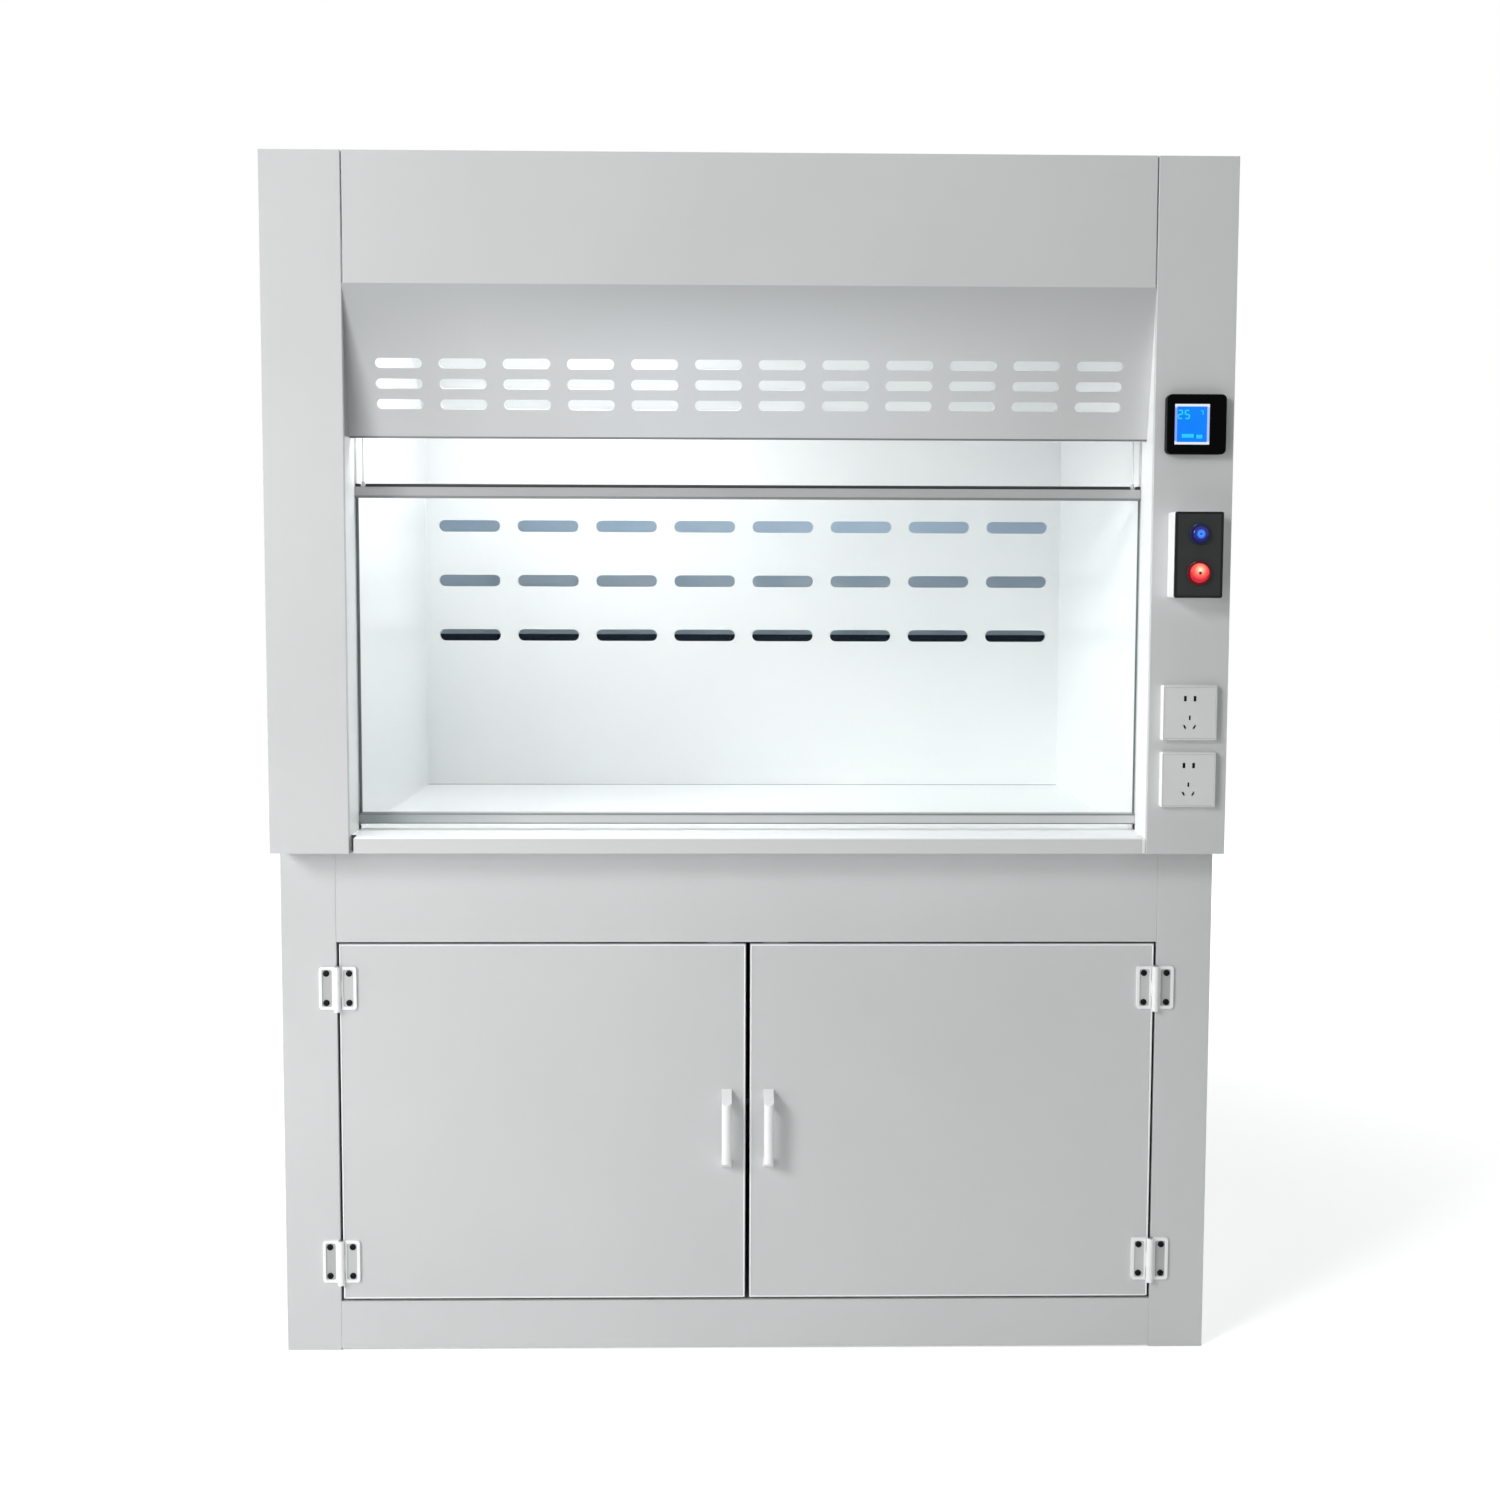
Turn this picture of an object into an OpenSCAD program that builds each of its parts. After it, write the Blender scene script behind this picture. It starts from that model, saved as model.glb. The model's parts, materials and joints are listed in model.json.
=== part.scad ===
// Polypropylene fume hood on a base cabinet, with a counterbalanced sash.
// X runs to the right, Y to the back and Z up. Lengths are in millimetres.
// The origin lies on the floor, under the middle of the whole hood.
// Y is first counted from the front face of the side posts, and the whole
// hood is then moved forward by centre_y.

/* [Overall] */
// Width over the side panels
hood_w = 1500; // [1300:10:1800]
// Depth from the front of the posts to the back of the rear panel
hood_d = 850; // [800:10:1000]
// Height of the roof above the floor
hood_h = 1910; // [1880:10:2100]
// Height of the underside of the upper body
bench_h = 830; // [760:10:850]
// Thickness of the polypropylene sheet
sheet_t = 8; // [6:1:10]
// Chamfer on the front edges of the panels, which shows as a seam
seam_c = 0.8; // [0.5:0.1:2]

/* [Side posts] */
// Width of each hollow side post
post_w = 124; // [116:1:150]
// Distance of the sash's middle plane behind the front of the posts
sash_y = 84; // [80:1:120]

/* [Worktop] */
// Thickness of the worktop at its raised front sill
worktop_t = 26.5; // [22:0.5:40]
// Depth of the dished floor below the sill
dish_depth = 8; // [4:0.5:12]
// Depth of the raised sill from front to back
sill_d = 140; // [136:1:180]
// Width of the notch between the sill's front edge and each post
notch_w = 7; // [4:0.5:10]
// Depth of that notch
notch_d = 20; // [10:1:30]
// Radius of the front edge's upper corners
notch_r = 5; // [3:0.5:8]

/* [Air inlet panel] */
// Gap between the fascia and each post
fascia_gap = 2; // [1:0.5:4]
// Height of the upright fascia above the inlet panel
fascia_h = 199.5; // [150:0.5:260]
// Height of the sloping inlet panel
inlet_h = 231.5; // [200:0.5:250]
// Depth of the panel's lower edge behind the fascia
inlet_depth = 45; // [30:1:56]
// Length of one inlet slot
inlet_slot_l = 73; // [50:0.5:85]
// Height of one inlet slot
inlet_slot_h = 15.5; // [8:0.5:22]
// Spacing of the slots along the panel
inlet_pitch_x = 99.1; // [95:0.1:130]
// Spacing of the slot rows up the slope
inlet_pitch_s = 31.5; // [28:0.1:36]
// Distance from the lower edge to the middle of the lowest row
inlet_first_s = 52.3; // [30:0.1:70]
// Rows of inlet slots
inlet_rows = 3; // [1:1:4]
// Least plain margin at each end of a row
inlet_margin = 30; // [20:1:60]

/* [Baffle] */
// Distance from the baffle's face to the hood's back
baffle_back = 130; // [100:1:180]
// Height of the sloping upper baffle above the upright one
upper_rise = 220.5; // [180:0.5:280]
// Length of one baffle slot
baffle_slot_l = 120; // [80:1:130]
// Height of one baffle slot
baffle_slot_h = 23; // [12:1:30]
// Spacing of the slots along the baffle
baffle_pitch_x = 154; // [140:1:180]
// Spacing of the slot rows
baffle_pitch_z = 107; // [80:1:120]
// Distance of the top row below the upright baffle's upper edge
baffle_top_in = 200; // [120:1:240]
// Rows of baffle slots
baffle_rows = 3; // [1:1:4]
// Least plain margin at each end of a row
baffle_margin = 20; // [10:1:60]

/* [Chamber ceiling and exhaust] */
// Height of the plenum above the chamber ceiling
plenum_h = 94; // [80:1:110]
// Distance from the plenum's front wall to the hood's back
plenum_back = 368; // [350:1:400]
// Height of the air gap between the upper baffle and the ceiling
top_gap = 20; // [12:1:40]
// Outer radius of the exhaust spigot
spigot_r = 125; // [80:1:125]
// Wall of the exhaust spigot
spigot_t = 5; // [3:0.5:8]
// Height of the exhaust spigot above the roof
spigot_h = 80; // [50:1:120]
// Width of the flange around the spigot
flange_w = 30; // [20:1:35]
// Thickness of that flange
flange_t = 6; // [4:0.5:10]
// Distance from the spigot's axis to the hood's back
spigot_back = 200; // [180:1:210]

/* [Lamp] */
// Length of the lamp opening in the ceiling
lamp_l = 620; // [500:10:700]
// Width of the lamp opening
lamp_w = 110; // [80:1:130]
// Thickness of the diffuser over the opening
diffuser_t = 4; // [3:0.5:6]
// Overlap of the diffuser and the ceiling
diffuser_lap = 10; // [6:1:14]
// Height of the lamp housing
lamp_h = 66; // [60:1:74]
// Radius of the lamp tube
tube_r = 13; // [8:0.5:14]
// Gap between the diffuser and the tube
tube_gap = 14; // [8:1:20]
// Distance from the tube's ends to the ends of the opening
tube_in = 10; // [6:1:30]
// Depth of the holder at each end of the tube
holder_d = 20; // [14:1:30]
// Thickness of the housing's sheet
housing_t = 2; // [1:0.5:3]
// Clearance between the housing and the diffuser
housing_gap = 1; // [0.5:0.5:3]

/* [Sash] */
// Gap between the closed sash and the sill
sill_gap = 10; // [3:0.5:14]
// Open gap above the closed sash
bypass_gap = 74.5; // [50:0.5:90]
// Thickness of the glass
glass_t = 6; // [4:1:8]
// Front-to-back depth of the sash rails
rail_d = 16; // [12:0.5:17]
// Height of the top rail
top_rail_h = 17; // [14:0.5:30]
// Height of the bottom rail
bottom_rail_h = 16.5; // [14:0.5:30]
// Depth to which the glass stands in each rail
glass_seat = 6; // [4:0.5:9]
// Height of each guide block
guide_h = 30; // [20:1:50]

/* [Sash tracks and counterbalance] */
// Front-to-back width of the track channel
track_w = 24; // [22:0.5:26]
// Depth of the track channel into the post
track_d = 16; // [13:0.5:20]
// Wall of the track channel
track_t = 3; // [2:0.5:4]
// Running clearance of the guide blocks
guide_clear = 0.4; // [0.3:0.1:0.8]
// Distance of each cable inside the opening
cable_inset = 12; // [10:1:20]
// Radius of the cable
cable_r = 1; // [0.8:0.1:1.5]
// Radius at which the cable runs on its pulley
pulley_r = 30; // [26:1:34]
// Height of the pulley flange above the cable's centre
pulley_lip = 3; // [2:0.5:5]
// Width of the pulley's rim
rim_w = 12; // [8:1:14]
// Clearance at each end of a pulley's hub
hub_clear = 0.3; // [0.2:0.1:0.5]
// Radius of the pulley axle
axle_r = 4; // [3:0.5:6]
// Running clearance around a pin or axle
pin_clear = 0.05; // [0.02:0.01:0.1]
// Width of each counterweight
weight_w = 50; // [40:1:56]
// Depth of each counterweight
weight_d = 46; // [36:1:60]
// Height of each counterweight
weight_h = 300; // [200:10:360]

/* [Base cabinet] */
// Setback of the cabinet's front behind the posts
cabinet_y = 62; // [40:1:80]
// Width of the stile beside each door
stile_w = 88; // [80:1:110]
// Height of the rail above the doors
head_rail_h = 154; // [120:1:180]
// Height of the door opening's lower edge above the floor
kick_h = 82; // [60:1:110]
// Drop from that edge to the cabinet floor behind it
kick_lip = 4; // [0:1:10]
// Gap below the bottom rail
kick_gap = 3; // [2:0.5:10]
// Height of the shelf above the cabinet floor
shelf_up = 288; // [200:1:360]
// Setback of the shelf behind the doors
shelf_setback = 130; // [60:1:300]
// Height of each shelf cleat
cleat_h = 20; // [15:1:40]
// Size of the square bearers under the worktop
bearer_w = 40; // [30:1:50]
// Wall of those bearers
bearer_t = 4; // [3:0.5:6]
// Distance of each bearer from the middle
bearer_x = 300; // [200:1:400]

/* [Doors] */
// Thickness of each door
door_t = 10; // [8:1:12]
// Gap at the hinge side and bottom of a door
door_gap = 4; // [3:0.5:5]
// Gap above the doors
door_head_gap = 3.5; // [3:0.5:8]
// Gap between the two doors
door_mid_gap = 7; // [5:0.5:12]
// Bevel around the front of a door
door_bevel = 1.5; // [0.5:0.1:3]
// Width of the stiffening battens on the inside of a door
batten_w = 40; // [30:1:60]
// Thickness of those battens
batten_t = 8; // [6:1:12]
// Distance from a door's ends to its battens
batten_in = 30; // [20:1:40]

/* [Hinges] */
// Distance from the top of a door to the middle of its upper hinge
hinge_top_in = 71; // [60:1:120]
// Distance from the bottom of a door to the middle of its lower hinge
hinge_low_in = 64; // [50:1:120]
// Height of the hinge leaves
leaf_h = 70; // [60:1:80]
// Width of a leaf from the pin's axis
leaf_w = 30; // [26:1:34]
// Thickness of a leaf at its rim
leaf_t = 4; // [3:0.5:5]
// Width of the raised rim
leaf_rim = 4.8; // [3:0.2:6]
// Depth of the recess inside the rim
leaf_recess = 1.5; // [1:0.1:2]
// Corner radius of a leaf
leaf_r = 5; // [3:0.5:7]
// Radius of the hinge barrel
barrel_r = 5.75; // [5:0.25:7]
// Length by which the barrel runs on below the leaves
barrel_tail = 3; // [0:0.5:6]
// Radius of the hinge pin
pin_r = 2.5; // [2:0.1:3]
// Gap between the knuckles
knuckle_gap = 0.3; // [0.2:0.1:0.6]
// Height between the two screws of a leaf
screw_pitch_z = 48; // [40:1:52]
// Distance of the screws from the pin's axis
screw_x = 18.4; // [16:0.2:20]
// Radius of a screw hole
screw_hole_r = 2.6; // [2:0.1:3]

/* [Door handles] */
// Length of a handle over its feet
handle_l = 130; // [100:1:160]
// Width of a handle
handle_w = 16; // [12:1:22]
// Height of a handle in front of the door
handle_proud = 35; // [28:1:45]
// Thickness of the bar
handle_t = 10; // [8:0.5:14]
// Run of each sloping leg along the door
handle_slope = 17; // [8:1:24]
// Length of each foot on the door
handle_foot = 14; // [11:1:22]
// Narrowing of each leg towards the bar
handle_taper = 5; // [2:0.5:8]
// Distance of a handle from the middle of the cabinet
handle_x = 34; // [26:1:60]
// Height of the handles' middle above the door opening's lower edge
handle_up = 287; // [200:1:400]

/* [Door catches] */
// Width of a catch
catch_w = 40; // [24:1:60]
// Distance of a catch from the middle
catch_x = 45; // [30:1:70]
// Depth of a catch behind the door
catch_d = 20; // [14:1:30]
// Length by which a catch reaches down behind the door
catch_down = 26; // [15:1:30]
// Length by which a catch is fixed on the rail
catch_up = 24; // [15:1:40]
// Gap between a closed door and its catch
catch_gap = 0.3; // [0.2:0.1:0.6]

/* [Controller] */
// Height of the controller's middle above the posts' underside
controller_up = 671; // [640:1:700]
// Width and height of the controller
controller_w = 92; // [84:1:100]
// Depth of the controller in front of the post
controller_d = 14; // [10:0.5:20]
// Corner radius of the controller
controller_r = 8; // [4:0.5:12]
// Width of the display
screen_w = 54; // [40:1:56]
// Height of the display
screen_h = 62; // [50:1:66]
// Distance of the display's middle to the left of the controller's
screen_off = 7; // [0:0.5:8]
// Depth of the display below the face
screen_deep = 1; // [0.5:0.1:2]
// Depth of the pocket that holds the display
pocket_d = 3; // [2:0.5:6]
// Depth of the terminal box behind the post's face
back_box_d = 30; // [20:1:40]
// Width and height of that box
back_box_w = 66; // [56:1:70]
// Clearance of that box in its cut-out
cut_clear = 0.5; // [0.3:0.1:1]

/* [Switch box] */
// Height of the switch box's middle above the posts' underside
switch_up = 470; // [440:1:500]
// Width of the switch box
switch_w = 74; // [66:1:84]
// Height of the switch box
switch_h = 132; // [124:1:150]
// Depth of the box behind its face plate
switch_d = 38; // [30:1:50]
// Thickness of the face plate
switch_face_t = 5; // [4:0.5:8]
// Corner radius of the box
switch_r = 3; // [1:0.5:6]
// Spacing of the two buttons
button_pitch = 60; // [50:1:66]
// Distance of the buttons' middle above the box's middle
button_off = 2; // [-4:1:6]
// Radius of the blue button's cap
blue_r = 12; // [9:0.5:14]
// Radius of the red button's cap
red_r = 15; // [11:0.5:18]
// Width of the ring around a button
bezel_w = 4; // [3:0.5:5]
// Height of that ring
bezel_h = 4; // [3:0.5:6]
// Bevel on that ring's outer edge
bezel_bevel = 1.5; // [0.5:0.1:2]
// Height of a cap in front of its ring
cap_h = 5; // [4.5:0.5:8]
// Radius of a cap's rounded rim
cap_rim = 3; // [2:0.5:4]
// Length of a cap behind the face plate
stem_l = 6; // [4:0.5:10]
// Travel of a button
button_travel = 3.5; // [2:0.5:4]
// Radial clearance of a cap
cap_clear = 0.3; // [0.2:0.1:0.5]

/* [Sockets] */
// Height of the lower socket's middle above the posts' underside
socket_up = 119; // [100:1:140]
// Spacing of the two sockets
socket_pitch = 105; // [90:1:120]
// Width and height of a socket plate
socket_w = 87; // [80:1:90]
// Depth of a socket plate in front of the post
socket_d = 11; // [6:0.5:12]
// Width and height of the insert that holds the contacts
insert_w = 80; // [54:1:80]
// Depth of the contact slots
contact_deep = 12; // [8:0.5:16]
// Width of an upper contact slot
blade_w = 4.5; // [3:0.1:5]
// Height of an upper contact slot
blade_h = 8.5; // [6:0.1:9]
// Width of a lower contact slot
contact_w = 3; // [2:0.1:3]
// Height of a lower contact slot
contact_h = 7; // [5:0.5:8]

/* [Hidden] */
$fn = 48;
corner_fn = 32;
past = 1;
polypropylene = "#cdcfcf";
inner_sheet = "#e4eaea";
half_w = hood_w / 2;
open_x = half_w - post_w;
post_x = half_w - post_w / 2;
inner_x = half_w - sheet_t;
back_y = hood_d - sheet_t;
roof_z = hood_h - sheet_t;

// The red cap is the front-most point of the hood
front_proud = switch_d + switch_face_t + bezel_h + cap_h;
centre_y = (hood_d - front_proud) / 2;

// Levels of the work opening, which grows with the hood's height
sill_z = bench_h + worktop_t;
floor_z = sill_z - dish_depth;
break_z = hood_h - fascia_h;
header_z = break_z - inlet_h;
sash_z = sill_z + sill_gap;
sash_top_z = header_z - bypass_gap;
slope_l = norm([inlet_depth, inlet_h]);
slope_a = atan2(inlet_depth, inlet_h);
slope_cut = sheet_t * slope_l / inlet_h;

// Counts of slots that the panels have room for
inlet_gap = inlet_pitch_x - inlet_slot_l;
inlet_cols = floor((2 * open_x - 2 * inlet_margin + inlet_gap) / inlet_pitch_x);
baffle_gap = baffle_pitch_x - baffle_slot_l;
baffle_cols = floor((2 * open_x - 2 * baffle_margin + baffle_gap) / baffle_pitch_x);

// Chamber ceiling, baffles and exhaust, which follow the hood's back and roof
baffle_y = hood_d - baffle_back;
plenum_y = hood_d - plenum_back;
spigot_y = hood_d - spigot_back;
ceiling_top_z = roof_z - plenum_h;
ceiling_z = ceiling_top_z - sheet_t;
upper_top_z = ceiling_z - top_gap;
baffle_top_z = upper_top_z - upper_rise;
baffle_h = baffle_top_z - floor_z;
baffle_room = floor((baffle_h - baffle_top_in - baffle_slot_h) / baffle_pitch_z) + 1;
upper_run = baffle_y - plenum_y;
upper_cut = sheet_t * norm([upper_run, upper_rise]) / upper_rise;

// Sash tracks, lamp, guides, cables and counterweights
track_front_y = sash_y - track_w / 2;
track_back_y = sash_y + track_w / 2;
lamp_y = (track_back_y + plenum_y - sheet_t) / 2;
lamp_tube_x = lamp_l / 2 - tube_in;
lamp_tube_z = diffuser_t + tube_gap + tube_r;
groove_w = track_w - 2 * track_t;
groove_back_x = open_x + track_d - track_t;
sash_end_x = open_x + (track_d - track_t) / 2;
guide_w = groove_w - 2 * guide_clear;
cable_x = open_x - cable_inset;
pulley_x = cable_x + pulley_r;
weight_x = cable_x + 2 * pulley_r;
flange_r = pulley_r + pulley_lip;
groove_clear = 0.3;
groove_flare = 1.5;
root_r = pulley_r - cable_r - groove_clear;
bracket_t = 3;
bracket_w = 40;
bracket_leg = 16;
pulley_top_gap = 2;
pulley_z = roof_z - bracket_t - pulley_top_gap - flange_r;
hub_w = track_w - 2 * bracket_t - 2 * hub_clear;
hub_wall = 6;
hub_r = axle_r + hub_wall;
track_gap_z = 5;
track_top_z = pulley_z - flange_r - track_gap_z;
weight_gap = 11;
weight_top_z = pulley_z - flange_r - weight_gap;

// Base cabinet and doors
front_back_y = cabinet_y + sheet_t;
door_open_x = half_w - stile_w;
door_head_z = bench_h - head_rail_h;
door_top_z = door_head_z - door_head_gap;
door_z = kick_h + door_gap;
door_edge_x = door_open_x - door_gap;
door_mid_x = door_mid_gap / 2;
door_back_y = cabinet_y + door_t;
floor_top_z = kick_h - kick_lip;
shelf_z = kick_h + shelf_up;
cleat_t = 20;
hinge_x = door_open_x - door_gap / 2;
hinge_y = cabinet_y - barrel_r;
hinge_levels = [door_top_z - hinge_top_in, door_z + hinge_low_in];
leaf_clear = 0.5;
leaf_in = barrel_r + leaf_clear;
pocket_over = 2;
pocket_r = 3;
barrel_top = leaf_h / 2;
barrel_low = -leaf_h / 2 - barrel_tail;
knuckle_l = (barrel_top - barrel_low - 2 * knuckle_gap) / 3;
pin_head_r = 4;
pin_head_h = 1.5;
handle_z = kick_h + handle_up;

// Heights of the controls
controller_z = bench_h + controller_up;
switch_z = bench_h + switch_up;
button_mid_z = switch_z + button_off;
blue_z = button_mid_z + button_pitch / 2;
red_z = button_mid_z - button_pitch / 2;
socket_levels = [bench_h + socket_up, bench_h + socket_up + socket_pitch];
insert_clear = 0.3;
plate_bevel = 3;
plate_r = 3;

// Places of a socket's contacts, from the middle of its insert
blade_x = 7.6;
blade_z = 22.5;
middle_z = -7.6;
skew_x = 7.6;
skew_z = -22;
skew_a = -30;

// Moves a piece from the posts' front plane to its place about the origin
module in_place() {
    translate([0, -centre_y, 0]) children();
}

// A piece and its mirror image on the other side
module both_sides() {
    children();
    mirror([1, 0, 0]) children();
}

// A box between two opposite corners
module block(low, high) {
    translate(low) cube(high - low);
}

// An upright panel whose two front edges have a small chamfer
module front_panel(x0, x1, z0, z1, y0, t) {
    c = seam_c;
    outline = [[x0, y0 + c], [x0 + c, y0], [x1 - c, y0], [x1, y0 + c], [x1, y0 + t], [x0, y0 + t]];
    translate([0, 0, z0]) linear_extrude(z1 - z0) polygon(outline);
}

// A section in the Y-Z plane, drawn out along X
module along_x(x0, x1) {
    translate([x0, 0, 0]) rotate([90, 0, 90]) linear_extrude(x1 - x0) children();
}

// A rectangle with round corners
module round_rect(w, h, r) {
    square([w - 2 * r, h], center = true);
    square([w, h - 2 * r], center = true);
    for (x = [-1, 1], z = [-1, 1])
        translate([x * (w / 2 - r), z * (h / 2 - r)]) circle(r);
}

// A slot with round ends
module slot(l, h) {
    square([l - h, h], center = true);
    for (s = [-1, 1]) translate([s * (l - h) / 2, 0]) circle(d = h);
}

// A shape drawn in the X-Z plane, thick from y0 to y1
module facing_front(x, z, y0, y1) {
    translate([x, y1, z]) rotate([90, 0, 0]) linear_extrude(y1 - y0) children();
}

// A turned piece whose axis points to the front from the plane y
module turned(x, y, z) {
    translate([x, y, z]) rotate([90, 0, 0]) rotate_extrude() children();
}

module cabinet_sides() color(polypropylene) in_place() both_sides()
    block([inner_x, front_back_y, 0], [half_w, hood_d, bench_h]);

module cabinet_back() color(polypropylene) in_place()
    block([-inner_x, back_y, 0], [inner_x, hood_d, bench_h]);

module cabinet_floor() color(polypropylene) in_place()
    block([-inner_x, front_back_y, floor_top_z - sheet_t], [inner_x, back_y, floor_top_z]);

module stile() {
    front_panel(door_open_x, half_w, 0, bench_h, cabinet_y, sheet_t);
}

module stile_left() color(polypropylene) in_place() mirror([1, 0, 0]) stile();

module stile_right() color(polypropylene) in_place() stile();

module head_rail() color(polypropylene) in_place()
    front_panel(-door_open_x, door_open_x, door_head_z, bench_h, cabinet_y, sheet_t);

module bottom_rail() color(polypropylene) in_place()
    front_panel(-door_open_x, door_open_x, kick_gap, kick_h, cabinet_y, sheet_t);

module cabinet_shelf() color(polypropylene) in_place()
    block([-inner_x, cabinet_y + shelf_setback, shelf_z],
        [inner_x, back_y, shelf_z + sheet_t]);

module shelf_cleats() color(polypropylene) in_place() both_sides()
    block([inner_x - cleat_t, cabinet_y + shelf_setback, shelf_z - cleat_h],
        [inner_x, back_y, shelf_z]);

module bench_bearers() color(polypropylene) in_place() both_sides()
    difference() {
        block([bearer_x - bearer_w / 2, front_back_y, bench_h - bearer_w],
            [bearer_x + bearer_w / 2, back_y, bench_h]);
        block([bearer_x - bearer_w / 2 + bearer_t, front_back_y - past,
                bench_h - bearer_w + bearer_t],
            [bearer_x + bearer_w / 2 - bearer_t, back_y + past, bench_h - bearer_t]);
    }

// The right door, bevelled in front, with two battens welded to its inside
module door() {
    c = door_bevel;
    y = cabinet_y;
    plan = [[door_mid_x, y + c], [door_mid_x + c, y], [door_edge_x - c, y],
        [door_edge_x, y + c], [door_edge_x, door_back_y], [door_mid_x, door_back_y]];
    side_view = [[y, door_z + c], [y, door_top_z - c], [y + c, door_top_z],
        [door_back_y, door_top_z], [door_back_y, door_z], [y + c, door_z]];
    intersection() {
        translate([0, 0, door_z - past]) linear_extrude(door_top_z - door_z + 2 * past)
            polygon(plan);
        along_x(door_mid_x - past, door_edge_x + past) polygon(side_view);
    }
    batten_x = catch_x + catch_w / 2 + batten_in;
    for (z = [door_z + batten_in, door_top_z - batten_in - batten_w])
        block([batten_x, door_back_y, z],
            [door_edge_x - batten_in, door_back_y + batten_t, z + batten_w]);
}

module door_left() color(polypropylene) in_place() mirror([1, 0, 0]) door();

module door_right() color(polypropylene) in_place() door();

// A bow handle: the side view of the bow, rounded towards the hand
module handle() {
    h = handle_l / 2;
    bar = h - handle_slope;
    inner = bar - handle_foot + handle_taper;
    bow = [[0, h], [-handle_proud, bar], [-handle_proud, -bar], [0, -h],
        [0, -h + handle_foot], [handle_t - handle_proud, -inner],
        [handle_t - handle_proud, inner], [0, h - handle_foot]];
    translate([handle_x, cabinet_y, handle_z]) intersection() {
        along_x(-handle_w / 2, handle_w / 2) polygon(bow);
        translate([0, 0, -handle_l]) linear_extrude(2 * handle_l) {
            translate([0, handle_w / 2 - handle_proud]) circle(handle_w / 2);
            translate([-handle_w / 2, handle_w / 2 - handle_proud])
                square([handle_w, handle_proud]);
        }
    }
}

module handle_left() color("white") in_place() mirror([1, 0, 0]) handle();

module handle_right() color("white") in_place() handle();

// One knuckle of a hinge between two heights above the hinge's middle
module knuckle(z0, z1) {
    difference() {
        union() {
            translate([0, 0, z0]) cylinder(r = barrel_r, h = z1 - z0);
            block([0, barrel_r - leaf_t, z0], [leaf_in, barrel_r, z1]);
        }
        translate([0, 0, z0 - past])
            cylinder(r = pin_r + pin_clear, h = z1 - z0 + 2 * past);
    }
}

// A hinge leaf: a plate with a raised rim and two screw holes, without knuckles
module leaf_plate() {
    pocket_w = leaf_w - leaf_in - 2 * leaf_rim + pocket_over;
    pocket_x = leaf_w - leaf_rim - pocket_w / 2;
    difference() {
        intersection() {
            facing_front(0, 0, barrel_r - leaf_t, barrel_r)
                round_rect(2 * leaf_w, leaf_h, leaf_r);
            block([leaf_in, -barrel_r, -leaf_h], [2 * leaf_w, barrel_r, leaf_h]);
        }
        facing_front(pocket_x, 0, barrel_r - leaf_t - past, barrel_r - leaf_t + leaf_recess)
            round_rect(pocket_w, leaf_h - 2 * leaf_rim, pocket_r);
        for (z = [-1, 1]) turned(screw_x, barrel_r + past, z * screw_pitch_z / 2)
            square([screw_hole_r, leaf_t + 2 * past]);
    }
}

// The leaf on the door has the middle knuckle
module door_leaf() {
    leaf_plate();
    knuckle(barrel_low + knuckle_l + knuckle_gap, barrel_top - knuckle_l - knuckle_gap);
}

// The leaf on the stile has the two outer knuckles
module frame_leaf() {
    leaf_plate();
    knuckle(barrel_low, barrel_low + knuckle_l);
    knuckle(barrel_top - knuckle_l, barrel_top);
}

module at_right_hinges() {
    for (z = hinge_levels) translate([hinge_x, hinge_y, z]) children();
}

module hinge_frame_leaves() color("white") in_place() both_sides()
    at_right_hinges() frame_leaf();

module hinge_door_leaves_left() color("white") in_place() mirror([1, 0, 0])
    at_right_hinges() mirror([1, 0, 0]) door_leaf();

module hinge_door_leaves_right() color("white") in_place()
    at_right_hinges() mirror([1, 0, 0]) door_leaf();

module hinge_pins() color("silver") in_place() both_sides() at_right_hinges() {
    translate([0, 0, barrel_low]) cylinder(r = pin_r, h = barrel_top - barrel_low);
    translate([0, 0, barrel_top]) cylinder(r = pin_head_r, h = pin_head_h);
}

// A magnet block fixed behind the head rail, reaching down behind a door
module door_catches() color("white") in_place() both_sides() {
    y0 = door_back_y + catch_gap;
    side_view = [[front_back_y, door_head_z], [y0, door_head_z],
        [y0, door_head_z - catch_down], [y0 + catch_d, door_head_z - catch_down],
        [y0 + catch_d, door_head_z + catch_up], [front_back_y, door_head_z + catch_up]];
    along_x(catch_x - catch_w / 2, catch_x + catch_w / 2) polygon(side_view);
}

// The notch at the right end of the sill's front edge, with a round upper corner
module sill_notch() {
    facing_front(open_x - notch_w, sill_z, -past, notch_d) {
        translate([0, -worktop_t - past]) square([notch_w + past, worktop_t + 2 * past]);
        difference() {
            translate([-notch_r, -notch_r]) square(notch_r + past);
            translate([-notch_r, -notch_r]) circle(notch_r);
        }
    }
}

// The worktop: a thick front sill with the dished floor behind it
module worktop() color(inner_sheet) in_place() difference() {
    side_view = [[seam_c, bench_h], [0, bench_h + seam_c], [0, sill_z - 2 * seam_c],
        [2 * seam_c, sill_z], [sill_d, sill_z], [sill_d + dish_depth, floor_z],
        [back_y, floor_z], [back_y, bench_h]];
    along_x(-open_x, open_x) polygon(side_view);
    both_sides() sill_notch();
}

// The right post's face plate
module post_face() {
    front_panel(open_x, half_w, bench_h, hood_h, 0, sheet_t);
}

module post_face_left() color(polypropylene) in_place() mirror([1, 0, 0]) post_face();

module post_face_right() color(polypropylene) in_place() difference() {
    post_face();
    w = back_box_w + 2 * cut_clear;
    for (z = concat([controller_z], socket_levels))
        block([post_x - w / 2, -past, z - w / 2], [post_x + w / 2, sheet_t + past, z + w / 2]);
}

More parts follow.
